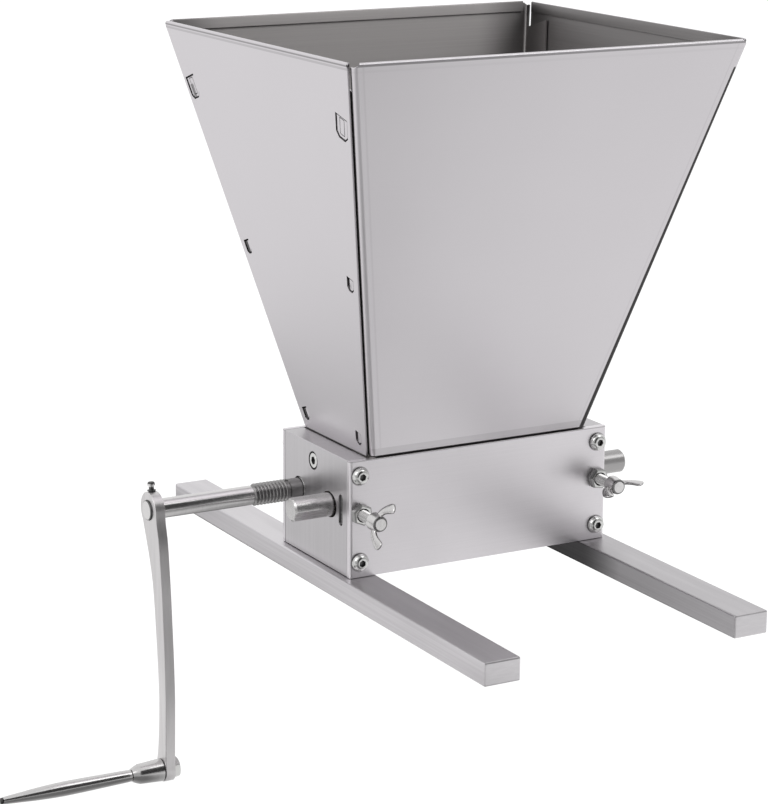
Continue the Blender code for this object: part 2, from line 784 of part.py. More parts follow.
def make_nut_plate(side):
    """Steel plate with round ends and a thread, held in the slot of the end block."""
    sign = SIDES[side]
    radius = NUT_SLOT_WIDTH / 2 - SEAT_GAP
    reach = NUT_SLOT_HEIGHT / 2 - NUT_SLOT_WIDTH / 2
    depth = NUT_SLOT_DEPTH - NUT_PLATE_RECESS - SEAT_GAP
    middle = sign * (block_outer - NUT_PLATE_RECESS - depth / 2)
    plate = outline(
        f"adjuster_nut_{side}",
        arc((nut_slot_centre, ROLLER_AXIS_HEIGHT + reach), radius, 0, 180, 8)
        + arc((nut_slot_centre, ROLLER_AXIS_HEIGHT - reach), radius, 180, 360, 8),
        depth,
    )
    plate.matrix_world = frame_across(middle)
    boolean(plate, rod(
        f"cut_nut_plate_{side}",
        WING_SCREW_DIAMETER / 2 + RUNNING_GAP,
        -NUT_SLOT_WIDTH,
        NUT_SLOT_WIDTH,
        (sign * block_centre, nut_slot_centre, ROLLER_AXIS_HEIGHT),
        "Y",
        SMALL_SEGMENTS,
    ))
    return finish(plate, DARK_STEEL)


# Rollers

def make_drive_roller():
    """Roller and shaft in one. Its left end is bored for the crank rod's spigot."""
    body = roller_diameter / 2
    shaft = DRIVE_SHAFT_DIAMETER / 2
    end = block_outer - DRIVE_SHAFT_RECESS
    chamfer = ROLLER_EDGE_CHAMFER
    roller = turned(
        "drive_roller",
        [
            (0, end),
            (shaft, end),
            (shaft, roller_half),
            (body - chamfer, roller_half),
            (body, roller_half - chamfer),
            (body, chamfer - roller_half),
            (body - chamfer, -roller_half),
            (shaft, -roller_half),
            (shaft, -end),
            (0, -end),
        ],
        (0, drive_axis_y, ROLLER_AXIS_HEIGHT),
        "X",
        FINE_SEGMENTS,
    )
    boolean(roller, rod(
        "cut_spigot_bore",
        SPIGOT_DIAMETER / 2 + SEAT_GAP,
        -SPIGOT_LENGTH - SEAT_GAP,
        CUT_OVERRUN,
        (-end, drive_axis_y, ROLLER_AXIS_HEIGHT),
        "-X",
        SMALL_SEGMENTS,
    ))
    return finish(roller, ROLLER_STEEL)


def make_idle_roller():
    """Roller and shaft in one. The shaft stands out on both sides, with flats for a drill on the left."""
    body = roller_diameter / 2
    shaft = IDLE_SHAFT_DIAMETER / 2
    left = -block_outer - IDLE_SHAFT_LEFT_REACH
    right = block_outer + IDLE_SHAFT_RIGHT_REACH
    bevelled = IDLE_SHAFT_CHAMFER
    chamfer = ROLLER_EDGE_CHAMFER
    roller = turned(
        "idle_roller",
        [
            (0, right),
            (shaft - bevelled, right),
            (shaft, right - bevelled),
            (shaft, roller_half),
            (body - chamfer, roller_half),
            (body, roller_half - chamfer),
            (body, chamfer - roller_half),
            (body - chamfer, -roller_half),
            (shaft, -roller_half),
            (shaft, left + bevelled),
            (shaft - bevelled, left),
            (0, left),
        ],
        (0, idle_axis_y, ROLLER_AXIS_HEIGHT),
        "X",
        FINE_SEGMENTS,
    )
    flat_face = shaft - IDLE_FLAT_DEPTH
    for index in range(IDLE_FLAT_COUNT):
        flat = box(
            f"cut_idle_flat_{index + 1}",
            (left - CUT_OVERRUN, -shaft, flat_face),
            (left + IDLE_FLAT_LENGTH, shaft, shaft + CUT_OVERRUN),
            cutters,
        )
        turn = Matrix.Rotation(math.tau * index / IDLE_FLAT_COUNT, 4, "X")
        axis_place = Matrix.Translation((0, idle_axis_y, ROLLER_AXIS_HEIGHT))
        flat.matrix_world = axis_place @ turn @ Matrix.Translation(flat.location)
        boolean(roller, flat)
    return finish(roller, ROLLER_STEEL)


# Wing screws and lock nuts

def wing_outline():
    """One wing, as (distance out from the axis, distance forward of the hub's end)."""
    root = WING_HUB_END_DIAMETER / 4
    tip = (WING_TIP_OUT, WING_TIP_FORWARD)
    points = [(root, -WING_ROOT_DEPTH)]
    points.append((WING_HUB_BASE_DIAMETER / 2, -WING_ROOT_DEPTH))
    points.append((WING_TIP_OUT - WING_TIP_RADIUS / 2, -WING_ROOT_DEPTH / 3))
    points += arc(tip, WING_TIP_RADIUS, -30, 170, 10)
    points.append((WING_TIP_OUT - WING_TIP_RADIUS * 2, WING_TIP_FORWARD / 8))
    points.append((WING_HUB_END_DIAMETER / 2, -WING_HUB_CHAMFER * 2))
    points.append((root, -WING_HUB_CHAMFER * 2))
    return points


def make_wing_screw(side):
    """Threaded shank with a cast hub and two wings. Its origin is on its axis, at the plate's face."""
    sign = SIDES[side]
    place_of_screw = (sign * block_centre, -FRAME_DEPTH / 2, ROLLER_AXIS_HEIGHT)
    shank = WING_SCREW_DIAMETER / 2
    tip = -(bearing_front + FRAME_DEPTH / 2 - SEAT_GAP)
    end = WING_HUB_REACH[side]
    base = end - WING_HUB_LENGTH
    screw = turned(
        f"wing_screw_{side}",
        [
            (0, end),
            (WING_HUB_END_DIAMETER / 2 - WING_HUB_CHAMFER, end),
            (WING_HUB_END_DIAMETER / 2, end - WING_HUB_CHAMFER),
            (WING_HUB_BASE_DIAMETER / 2, base),
            (shank, base),
            (shank, tip),
            (0, tip),
        ],
        place_of_screw,
        "-Y",
        WING_SEGMENTS,
    )
    for index, half_turn in enumerate((0, 180)):
        wing = outline(
            f"wing_{side}_{index + 1}", wing_outline(), WING_THICKNESS, collection=cutters
        )
        bevel(wing, WING_EDGE_ROUND, 1, 60)
        upright = frame_of((1, 0, 0), (0, 0, 1), (0, -1, 0), (0, 0, end))
        turn = Matrix.Rotation(math.radians(WING_TURN[side] + half_turn), 4, "Z")
        screw_frame = Matrix.Translation(place_of_screw) @ Matrix.Rotation(math.pi / 2, 4, "X")
        wing.matrix_world = screw_frame @ turn @ upright
        boolean(screw, wing, "UNION")
    return finish(screw, CAST_WING)


def make_lock_nut(side):
    """Hex nut round the wing screw, against the front plate."""
    sign = SIDES[side]
    nut = make_hex_nut(
        f"lock_nut_{side}",
        LOCK_NUT_ACROSS,
        LOCK_NUT_THICKNESS,
        LOCK_NUT_CHAMFER,
        WING_SCREW_DIAMETER / 2 + RUNNING_GAP,
        (sign * block_centre, -FRAME_DEPTH / 2 - SEAT_GAP, ROLLER_AXIS_HEIGHT),
        "-Y",
        LOCK_NUT_TURN[side],
    )
    return finish(nut, BRIGHT_ZINC)


def make_hex_nut(name, across, thickness, chamfer, bore, location, axis, turn):
    """Hex nut standing on its location, its corners turned off at the free end."""
    nut = outline(name, hexagon(across, turn), thickness)
    nut.data.transform(Matrix.Translation((0, 0, thickness / 2)))
    place(nut, location, axis)
    corner = across / math.sqrt(3)
    face_radius = across / 2 * NUT_FACE_SHARE
    cone = turned(
        f"cut_{name}_cone",
        [
            (face_radius, thickness + CUT_OVERRUN),
            (corner + CUT_OVERRUN, thickness + CUT_OVERRUN),
            (corner + CUT_OVERRUN, thickness - chamfer),
            (corner, thickness - chamfer),
            (face_radius, thickness),
        ],
        location,
        axis,
        SMALL_SEGMENTS,
        cutters,
        ring=True,
    )
    boolean(nut, cone)
    boolean(nut, rod(
        f"cut_{name}_bore", bore, -CUT_OVERRUN, thickness + CUT_OVERRUN, location, axis, SMALL_SEGMENTS
    ))
    return nut


# Hopper

def half_length(z):
    """Half the hopper's length over its side sheets at a height."""
    return hopper_bottom_length / 2 + (z - hopper_bottom) * side_slope


def half_depth(z):
    """Half the hopper's depth over its front and rear sheets at a height."""
    return hopper_bottom_depth / 2 + (z - hopper_bottom) * front_slope


side_tilt = math.atan(side_slope)
front_tilt = math.atan(front_slope)
lap_offset = (SHEET_THICKNESS + SHEET_LAP_GAP) / math.cos(side_tilt)
# along a corner upwards, and across it along the side sheet, for the corner at -X and -Y
corner_up = Vector((-side_slope, -front_slope, 1)).normalized()
side_outward = Vector((-math.cos(side_tilt), 0, -math.sin(side_tilt)))
corner_in = corner_up.cross(side_outward).normalized()
if corner_in.y < 0:
    corner_in = -corner_in
hem_thickness = 2 * SHEET_THICKNESS + HEM_GAP


def fold_edges(work, folds, radius, turn_angle, segments):
    """Rounds the fold lines of a sheet to a bend radius."""
    offset = radius * math.tan(turn_angle / 2)
    bmesh.ops.bevel(
        work, geom=folds, offset=offset, segments=segments, profile=0.5, affect="EDGES"
    )


def grow(work, edge, steps, taper=0.0):
    """Extrudes an edge of a sheet once for each step, drawing its ends in by the taper of each step's
    length, and returns the fold lines that this leaves."""
    folds = []
    for step in steps:
        folds.append(edge)
        made = bmesh.ops.extrude_edge_only(work, edges=[edge])["geom"]
        corners = [item for item in made if isinstance(item, bmesh.types.BMVert)]
        bmesh.ops.translate(work, vec=step, verts=corners)
        middle = (corners[0].co + corners[1].co) / 2
        for corner in corners:
            corner.co += (middle - corner.co).normalized() * step.length * taper
        edge = next(
            item
            for item in made
            if isinstance(item, bmesh.types.BMEdge) and all(vert in corners for vert in item.verts)
        )
    return folds


def face_outward(work, outward):
    """Turns every face of a sheet so that its first face points outwards."""
    bmesh.ops.recalc_face_normals(work, faces=work.faces)
    work.faces.ensure_lookup_table()
    if work.faces[0].normal.dot(outward) < 0:
        bmesh.ops.reverse_faces(work, faces=work.faces)


def thicken(sheet):
    solid = sheet.modifiers.new("sheet", "SOLIDIFY")
    solid.thickness = SHEET_THICKNESS
    solid.offset = -1
    solid.use_even_offset = True
    solid.use_quality_normals = True
    return solid


def edge_between(first, second):
    return next(edge for edge in first.link_edges if edge.other_vert(first) is second)


def make_folded_sheet(face):
    """Front or rear sheet: bent back along the side sheets, hemmed at its rim, with a lip on the plate."""
    toward = -1 if face == "front" else 1
    work = bmesh.new()
    rim = hopper_top
    corner_top = rim - CORNER_DROP
    hem_start = CORNER_BEND_RADIUS + HEM_END_INSET
    lip_start = CORNER_BEND_RADIUS + HEM_END_INSET

    def on_face(x, z):
        return work.verts.new((x, toward * half_depth(z), z))

    def fold_x(z):
        return half_length(z) - lap_offset

    stub_z = rim - FLANGE_START
    ring = []
    ring.append(on_face(-fold_x(hopper_bottom), hopper_bottom))
    ring.append(on_face(lip_start - fold_x(hopper_bottom), hopper_bottom))
    ring.append(on_face(fold_x(hopper_bottom) - lip_start, hopper_bottom))
    ring.append(on_face(fold_x(hopper_bottom), hopper_bottom))
    ring.append(on_face(fold_x(stub_z), stub_z))
    ring.append(on_face(fold_x(corner_top), corner_top))
    ring.append(on_face(fold_x(rim) - hem_start, rim))
    ring.append(on_face(hem_start - fold_x(rim), rim))
    ring.append(on_face(-fold_x(corner_top), corner_top))
    ring.append(on_face(-fold_x(stub_z), stub_z))
    work.faces.new(ring)

    # flanges along the side sheets: wide up to near the rim, then only the bend's own width
    side_folds = []
    for sign, low, middle, high in ((1, ring[3], ring[4], ring[5]), (-1, ring[0], ring[9], ring[8])):
        across = Vector((-sign * corner_in.x, -toward * corner_in.y, corner_in.z))
        wide = [vert.co + across * FLANGE_WIDTH for vert in (low, middle)]
        stub = [vert.co + across * FLANGE_STUB_WIDTH for vert in (middle, high)]
        low_wide, middle_wide = (work.verts.new(point) for point in wide)
        middle_stub, high_stub = (work.verts.new(point) for point in stub)
        work.faces.new((low, middle, middle_stub, middle_wide, low_wide))
        work.faces.new((middle, high, high_stub, middle_stub))
        side_folds += [edge_between(low, middle), edge_between(middle, high)]

    # hem at the rim and lip at the bottom
    inward = Vector((0, -toward * math.cos(front_tilt), math.sin(front_tilt)))
    down = Vector((0, -toward * math.sin(front_tilt), -math.cos(front_tilt)))
    hem_folds = grow(
        work, edge_between(ring[6], ring[7]), (inward * hem_thickness, down * HEM_DEPTH), side_slope
    )
    lip_folds = grow(work, edge_between(ring[1], ring[2]), (Vector((0, -toward * LIP_WIDTH, 0)),))
    outward = Vector((0, toward, 0))
    face_outward(work, outward)
    fold_edges(work, side_folds, CORNER_BEND_RADIUS, math.pi / 2, 4)
    fold_edges(work, hem_folds, HEM_ROUND, math.pi / 2, 2)
    fold_edges(work, lip_folds, LIP_BEND_RADIUS, math.pi / 2 - front_tilt, 3)
    sheet = add_bmesh(f"hopper_{face}", work)
    thicken(sheet)
    sheet = as_mesh(sheet)
    for side, sign in SIDES.items():
        for name, slot in (("large", LARGE_SLOT), ("middle", MIDDLE_SLOT), ("low", LOW_SLOT)):
            tab = slot_plate(
                f"tab_{face}_{side}_{name}",
                slot,
                TAB_CLEARANCE,
                SHEET_THICKNESS + SHEET_LAP_GAP + SHEET_THICKNESS / 2,
                TAB_SUNK,
                sign,
                toward,
            )
            boolean(sheet, tab, "UNION")
    return finish(sheet, BRUSHED_SHEET)


def slot_points(slot, shrink):
    """Outline of a slot or its tab, across from the sheet's edge and down from the rim."""
    near = slot["near"] + shrink
    far = slot["near"] + slot["width"] - shrink
    top = slot["start"] + shrink
    bottom = slot["start"] + slot["length"] - shrink
    corner = slot["corner"] - shrink / 2
    return [
        (near, -top),
        (near, -bottom + corner),
        (near + corner, -bottom),
        (far - corner, -bottom),
        (far, -bottom + corner),
        (far, -top),
    ]


def slot_plate(name, slot, shrink, thickness, depth, sign, toward):
    """A plate with a slot's outline, from a depth below the side sheet's outer face inwards."""
    edge_x = -half_length(hopper_top)
    edge_y = -half_depth(hopper_top) + SIDE_SHEET_SETBACK
    start = Vector((edge_x, edge_y, hopper_top)) - side_outward * (depth + thickness / 2)
    mirror = Vector((-sign, -toward, 1))
    frame = frame_of(
        corner_in * mirror, corner_up * mirror, side_outward * mirror, start * mirror
    )
    plate = outline(name, slot_points(slot, shrink), thickness, collection=cutters)
    plate.data.transform(frame)
    if frame.determinant() < 0:
        plate.data.flip_normals()
    return plate


def make_side_sheet(side):
    """Left or right sheet: flat, hemmed at its rim, slotted for the tabs, with a tail inside the block."""
    sign = SIDES[side]
    work = bmesh.new()
    rim = hopper_top
    corner_top = rim - CORNER_DROP

    def on_face(y, z):
        return work.verts.new((sign * half_length(z), y, z))

    def edge_y(z):
        return half_depth(z) - SIDE_SHEET_SETBACK

    tail_low = TAIL_CENTRE_BACK - TAIL_WIDTH / 2
    tail_high = TAIL_CENTRE_BACK + TAIL_WIDTH / 2
    ring = []
    ring.append(on_face(-edge_y(hopper_bottom), hopper_bottom))
    ring.append(on_face(tail_low, hopper_bottom))
    ring.append(on_face(tail_high, hopper_bottom))
    ring.append(on_face(edge_y(hopper_bottom), hopper_bottom))
    ring.append(on_face(edge_y(corner_top), corner_top))
    ring.append(on_face(edge_y(rim) - HEM_END_INSET, rim))
    ring.append(on_face(HEM_END_INSET - edge_y(rim), rim))
    ring.append(on_face(-edge_y(corner_top), corner_top))
    work.faces.new(ring)
    inward = Vector((-sign * math.cos(side_tilt), 0, math.sin(side_tilt)))
    down = Vector((-sign * math.sin(side_tilt), 0, -math.cos(side_tilt)))
    hem_folds = grow(
        work, edge_between(ring[5], ring[6]), (inward * hem_thickness, down * HEM_DEPTH), front_slope
    )
    grow(work, edge_between(ring[1], ring[2]), (Vector((0, 0, -TAIL_LENGTH - SEAT_GAP)),))
    face_outward(work, Vector((sign, 0, 0)))
    fold_edges(work, hem_folds, HEM_ROUND, math.pi / 2, 2)
    sheet = add_bmesh(f"hopper_{side}", work)
    thicken(sheet)
    sheet = as_mesh(sheet)
    for face, toward in (("front", -1), ("rear", 1)):
        for name, slot in (("large", LARGE_SLOT), ("middle", MIDDLE_SLOT), ("low", LOW_SLOT)):
            cutter = slot_plate(
                f"cut_slot_{face}_{side}_{name}",
                slot,
                0,
                2 * CUT_OVERRUN + SHEET_THICKNESS,
                -CUT_OVERRUN,
                sign,
                toward,
            )
            boolean(sheet, cutter)
    boolean(sheet, rod(
        f"cut_tail_{side}",
        TAIL_SCREW_DIAMETER / 2 + SEAT_GAP,
        -CUT_OVERRUN,
        CUT_OVERRUN,
        (sign * half_length(hopper_bottom), TAIL_CENTRE_BACK, tail_screw_height),
        "X",
        SMALL_SEGMENTS,
    ))
    return finish(sheet, BRUSHED_SHEET)


def make_tail_screw(side):
    """Socket screw through the end block and the tail, with its nut inside."""
    sign = SIDES[side]
    axis = side_axis(sign)
    outer = (sign * block_outer, TAIL_CENTRE_BACK, tail_screw_height)
    head = TAIL_SCREW_HEAD_DIAMETER / 2
    shank = TAIL_SCREW_DIAMETER / 2
    nut_face = half_length(hopper_bottom) - SHEET_THICKNESS - SEAT_GAP
    tip = nut_face - TAIL_NUT_THICKNESS - TAIL_SCREW_PROUD - block_outer
    screw = turned(
        f"hopper_screw_{side}",
        [
            (0, 0),
            (head, 0),
            (head, -TAIL_SCREW_HEAD_HEIGHT),
            (shank, -TAIL_SCREW_HEAD_HEIGHT),
            (shank, tip),
            (0, tip),
        ],
        outer,
        axis,
        SMALL_SEGMENTS,
    )
    boolean(screw, hex_socket(
        f"cut_tail_socket_{side}", TAIL_SCREW_SOCKET_ACROSS, TAIL_SCREW_SOCKET_DEPTH, outer, axis
    ))
    finish(screw, BRIGHT_ZINC)
    nut = make_hex_nut(
        f"hopper_nut_{side}",
        TAIL_NUT_ACROSS,
        TAIL_NUT_THICKNESS,
        TAIL_NUT_CHAMFER,
        shank + SEAT_GAP,
        (sign * nut_face, TAIL_CENTRE_BACK, tail_screw_height),
        side_axis(-sign),
        0,
    )
    return finish(nut, BRIGHT_ZINC)


# Crank

rod_axis = Vector((0, drive_axis_y, ROLLER_AXIS_HEIGHT))
arm_lean = math.radians(ARM_LEAN)
arm_down = Vector((0, -math.sin(arm_lean), -math.cos(arm_lean)))
arm_back = Vector((0, math.cos(arm_lean), -math.sin(arm_lean)))
handle_axis = rod_axis + arm_down * ARM_LENGTH
arm_outer_x = -block_outer - ARM_FACE_REACH
arm_inner_x = arm_outer_x + ARM_THICKNESS


def make_crank_rod():
    """Rod turned in one piece: spigot in the roller, collar, threaded part and thin part."""
    start = block_outer - DRIVE_SHAFT_RECESS + SEAT_GAP
    collar_end = start + ROD_COLLAR_LENGTH
    thread_end = collar_end + ROD_THREAD_LENGTH
    rod_end = block_outer + ROD_LENGTH
    thread = ROD_THREAD_DIAMETER / 2
    thin = ROD_DIAMETER / 2
    collar = ROD_COLLAR_DIAMETER / 2
    crank_rod = turned(
        "crank_rod",
        [
            (0, rod_end),
            (thin - ROD_END_CHAMFER, rod_end),
            (thin, rod_end - ROD_END_CHAMFER),
            (thin, thread_end),
            (thread - ROD_THREAD_CHAMFER, thread_end),
            (thread, thread_end - ROD_THREAD_CHAMFER),
            (thread, collar_end),
            (collar, collar_end),
            (collar, start),
            (SPIGOT_DIAMETER / 2, start),
            (SPIGOT_DIAMETER / 2, start - SPIGOT_LENGTH),
            (0, start - SPIGOT_LENGTH),
        ],
        rod_axis,
        "-X",
    )
    return finish(crank_rod, TURNED_STEEL)


def arm_width(index):
    return ARM_WAIST_WIDTH * ARM_WIDTH_SHARES[index]


def arm_outline():
    """Outline of the arm, as (distance back, distance down the line between its two pivots)."""
    front, back = [], []
    for index, share in enumerate(ARM_STATION_SHARES):
        middle = -ARM_BOW * ARM_BOW_SHARES[index]
        along = ARM_LENGTH * share
        front.append((middle - arm_width(index) / 2, along))
        back.append((middle + arm_width(index) / 2, along))
    front = smooth_run(front)
    back = smooth_run(back)
    top = arc((0, 0), ARM_EYE_DIAMETER / 2, 35, -190, 18)
    bottom = arc((0, ARM_LENGTH), ARM_END_DIAMETER / 2, 190, -25, 12)
    return top + front + bottom + back[::-1]


def smooth_run(points, steps=2):
    """Adds points between the given ones, on a smooth curve through all of them."""
    run = [Vector(point) for point in points]
    ends = [2 * run[0] - run[1]] + run + [2 * run[-1] - run[-2]]
    found = []
    for index in range(1, len(ends) - 2):
        before, first, second, after = ends[index - 1 : index + 3]
        for step in range(steps):
            t = step / steps
            found.append(tuple(
                (
                    2 * first
                    + (second - before) * t
                    + (2 * before - 5 * first + 4 * second - after) * t**2
                    + (3 * first - before - 3 * second + after) * t**3
                )
                / 2
            ))
    found.append(tuple(run[-1]))
    return found


def make_crank_arm():
    """Flat bowed strap, bored for the rod, the handle's stud and the set screw."""
    middle = Vector((arm_outer_x + ARM_THICKNESS / 2, rod_axis.y, rod_axis.z))
    frame = frame_of(arm_back, arm_down, (-1, 0, 0), middle)
    arm = outline("crank_arm", arm_outline(), ARM_THICKNESS, frame)
    bevel(arm, ARM_EDGE_ROUND, 1, 60)
    overrun = ARM_THICKNESS + CUT_OVERRUN
    boolean(arm, rod(
        "cut_arm_eye", ROD_DIAMETER / 2 + SEAT_GAP, -overrun, overrun, middle, "X"
    ))
    lower = middle + handle_axis - rod_axis
    boolean(arm, rod(
        "cut_arm_stud", HANDLE_STUD_DIAMETER / 2 + SEAT_GAP, -overrun, overrun, lower, "X", SMALL_SEGMENTS
    ))
    hole = rod(
        "cut_arm_set_screw",
        SET_SCREW_DIAMETER / 2 + SEAT_GAP,
        0,
        ARM_EYE_DIAMETER,
        middle,
        "Z",
        SMALL_SEGMENTS,
    )
    hole.rotation_euler = (-math.radians(SET_SCREW_LEAN), 0, 0)
    boolean(arm, hole)
    finish(arm, POLISHED_STEEL)
    make_set_screw(middle)
    return arm


def make_set_screw(middle):
    """Small screw into the top of the eye, with its washer, against the rod."""
    tip = ROD_DIAMETER / 2 + SEAT_GAP
    seat = ARM_EYE_DIAMETER / 2 + SEAT_GAP
    washer_top = seat + SET_SCREW_WASHER_THICKNESS
    head_bottom = washer_top + SET_SCREW_NECK
    head_top = head_bottom + SET_SCREW_HEAD_HEIGHT
    shank = SET_SCREW_DIAMETER / 2
    head = SET_SCREW_HEAD_DIAMETER / 2
    screw = turned(
        "crank_set_screw",
        [(0, head_top)]
        + dome(head, head / 2, head_bottom + SET_SCREW_HEAD_HEIGHT / 3, head_top, 3)
        + [
            (head, head_bottom),
            (shank, head_bottom),
            (shank, washer_top),
            (SET_SCREW_WASHER_DIAMETER / 2, washer_top),
            (SET_SCREW_WASHER_DIAMETER / 2, seat),
            (shank, seat),
            (shank, tip),
            (0, tip),
        ],
        middle,
        "Z",
        SMALL_SEGMENTS,
    )
    screw.rotation_euler = (-math.radians(SET_SCREW_LEAN), 0, 0)
    return finish(screw, BRIGHT_ZINC)


# Handle: every piece's origin is on the handle's axis, at the arm's outer face

handle_origin = Vector((arm_outer_x, handle_axis.y, handle_axis.z))
collar_start = SEAT_GAP
collar_neck = collar_start + HANDLE_COLLAR_LENGTH
collar_end = collar_neck + HANDLE_CONE_LENGTH
grip_start = collar_end + SEAT_GAP
grip_end = grip_start + GRIP_LENGTH
bolt_head_start = grip_end + SEAT_GAP


def make_handle_collar():
    """Tapered collar with its stud through the arm, bored for the long bolt."""
    stud = HANDLE_STUD_DIAMETER / 2
    stud_tip = -ARM_THICKNESS - HANDLE_NUT_THICKNESS
    collar = turned(
        "handle_collar",
        [
            (0, collar_end),
            (HANDLE_CONE_END_DIAMETER / 2, collar_end),
            (HANDLE_COLLAR_NECK_DIAMETER / 2, collar_neck),
            (HANDLE_COLLAR_DIAMETER / 2, collar_start),
            (stud, collar_start),
            (stud, stud_tip),
            (0, stud_tip),
        ],
        handle_origin,
        "-X",
    )
    boolean(collar, rod(
        "cut_collar_bore",
        HANDLE_BOLT_DIAMETER / 2 + SEAT_GAP,
        collar_end - HANDLE_BOLT_HOLD - SEAT_GAP,
        collar_end + CUT_OVERRUN,
        handle_origin,
        "-X",
        SMALL_SEGMENTS,
    ))
    return finish(collar, POLISHED_STEEL)


def make_handle_grip():
    """Slim grip, thickest past its middle and drawn out to a thin end, bored from end to end."""
    bore = HANDLE_BOLT_DIAMETER / 2 + RUNNING_GAP
    stations = list(zip(GRIP_STATION_SHARES, GRIP_DIAMETER_SHARES))
    outside = [
        (GRIP_DIAMETER / 2 * width, grip_start + GRIP_LENGTH * share) for share, width in stations
    ]
    grip = turned(
        "handle_grip",
        outside[::-1] + [(bore, grip_start), (bore, grip_end)],
        handle_origin,
        "-X",
        ring=True,
    )
    return finish(grip, POLISHED_STEEL)


def make_handle_bolt():
    """Long bolt that the grip turns on, with a small dark head at the free end."""
    shank = HANDLE_BOLT_DIAMETER / 2
    head = HANDLE_BOLT_HEAD_DIAMETER / 2
    end = bolt_head_start + HANDLE_BOLT_HEAD_LENGTH
    bolt = turned(
        "handle_bolt",
        [(0, end)]
        + dome(head, head / 2, bolt_head_start + HANDLE_BOLT_HEAD_LENGTH / 3, end, 3)
        + [
            (head, bolt_head_start),
            (shank, bolt_head_start),
            (shank, collar_end - HANDLE_BOLT_HOLD),
            (0, collar_end - HANDLE_BOLT_HOLD),
        ],
        handle_origin,
        "-X",
        SMALL_SEGMENTS,
    )
    return finish(bolt, DARK_STEEL)


def make_handle_nut():
    """Thin hex nut on the collar's stud, against the arm's inner face."""
    nut = make_hex_nut(
        "handle_nut",
        HANDLE_NUT_ACROSS,
        HANDLE_NUT_THICKNESS,
        HANDLE_NUT_CHAMFER,
        HANDLE_STUD_DIAMETER / 2 + SEAT_GAP,
        handle_origin + Vector((ARM_THICKNESS + SEAT_GAP, 0, 0)),
        "X",
        0,
    )
    return finish(nut, BRIGHT_ZINC)


make_plate("front")
make_plate("rear")
for side in SIDES:
    make_foot_bar(side)
    make_end_block(side)
    make_drive_bush(side)
    make_idle_bearing(side)
    make_nut_plate(side)
    make_wing_screw(side)
    make_lock_nut(side)
    make_side_sheet(side)
    make_tail_screw(side)
for face in ("front", "rear"):
    make_folded_sheet(face)
make_drive_roller()
make_idle_roller()
make_crank_rod()
make_crank_arm()
make_handle_collar()
make_handle_grip()
make_handle_bolt()
make_handle_nut()
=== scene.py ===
"""A hand cranked grain mill with a folded sheet hopper, as it is photographed.

Metres, in the same frame as its solids: +Z up, the rollers along X, the crank at -X, the front
plate facing -Y. The sections follow the mill as it is put together, and the studio comes last.
"""

import json
import math

import bpy
from mathutils import Matrix, Vector

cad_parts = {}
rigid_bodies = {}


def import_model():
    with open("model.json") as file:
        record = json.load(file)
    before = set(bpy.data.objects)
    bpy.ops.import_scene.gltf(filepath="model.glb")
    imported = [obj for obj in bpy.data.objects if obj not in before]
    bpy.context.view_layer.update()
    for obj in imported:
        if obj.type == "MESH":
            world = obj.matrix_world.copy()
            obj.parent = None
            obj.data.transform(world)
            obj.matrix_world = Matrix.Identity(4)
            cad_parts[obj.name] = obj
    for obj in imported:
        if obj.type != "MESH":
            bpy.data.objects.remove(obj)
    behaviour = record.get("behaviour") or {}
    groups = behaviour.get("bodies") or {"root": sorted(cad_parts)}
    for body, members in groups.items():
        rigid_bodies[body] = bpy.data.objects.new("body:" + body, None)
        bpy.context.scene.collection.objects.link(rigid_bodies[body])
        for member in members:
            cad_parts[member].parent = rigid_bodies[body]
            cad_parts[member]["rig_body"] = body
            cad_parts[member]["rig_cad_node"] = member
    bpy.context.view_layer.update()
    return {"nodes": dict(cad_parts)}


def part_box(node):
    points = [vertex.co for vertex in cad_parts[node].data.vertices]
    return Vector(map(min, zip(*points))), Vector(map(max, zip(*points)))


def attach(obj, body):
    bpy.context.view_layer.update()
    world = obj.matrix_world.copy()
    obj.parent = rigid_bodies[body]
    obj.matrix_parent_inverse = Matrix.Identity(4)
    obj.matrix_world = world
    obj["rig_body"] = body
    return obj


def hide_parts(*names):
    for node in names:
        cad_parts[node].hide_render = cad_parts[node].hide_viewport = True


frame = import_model()


# Foot bars
# Two bars of drawn steel stock lie across the bucket and carry the mill. They are sawn to length,
# their long edges are broken by the drawing, and the blocks are screwed to them from below.

class Value:
    """A number, colour or vector inside a finish. Python's operators on numbers add Math nodes."""

    def __init__(self, nodes, socket):
        self.nodes = nodes
        self.socket = socket

    def math(self, operation, *numbers):
        """Adds a Math node on some numbers."""
        return self.nodes.make("ShaderNodeMath", {"operation": operation}, dict(enumerate(numbers)))

    def __add__(self, other):
        return self.math("ADD", self, other)

    def __radd__(self, other):
        return self.math("ADD", other, self)

    def __sub__(self, other):
        return self.math("SUBTRACT", self, other)

    def __rsub__(self, other):
        return self.math("SUBTRACT", other, self)

    def __mul__(self, other):
        return self.math("MULTIPLY", self, other)

    def __rmul__(self, other):
        return self.math("MULTIPLY", other, self)

    def __truediv__(self, other):
        return self.math("DIVIDE", self, other)

    def __abs__(self):
        return self.math("ABSOLUTE", self)

    def fraction(self):
        return self.math("FRACT", self)

    def root(self):
        return self.math("SQRT", self)

    def least(self, other):
        return self.math("MINIMUM", self, other)

    def most(self, other):
        return self.math("MAXIMUM", self, other)


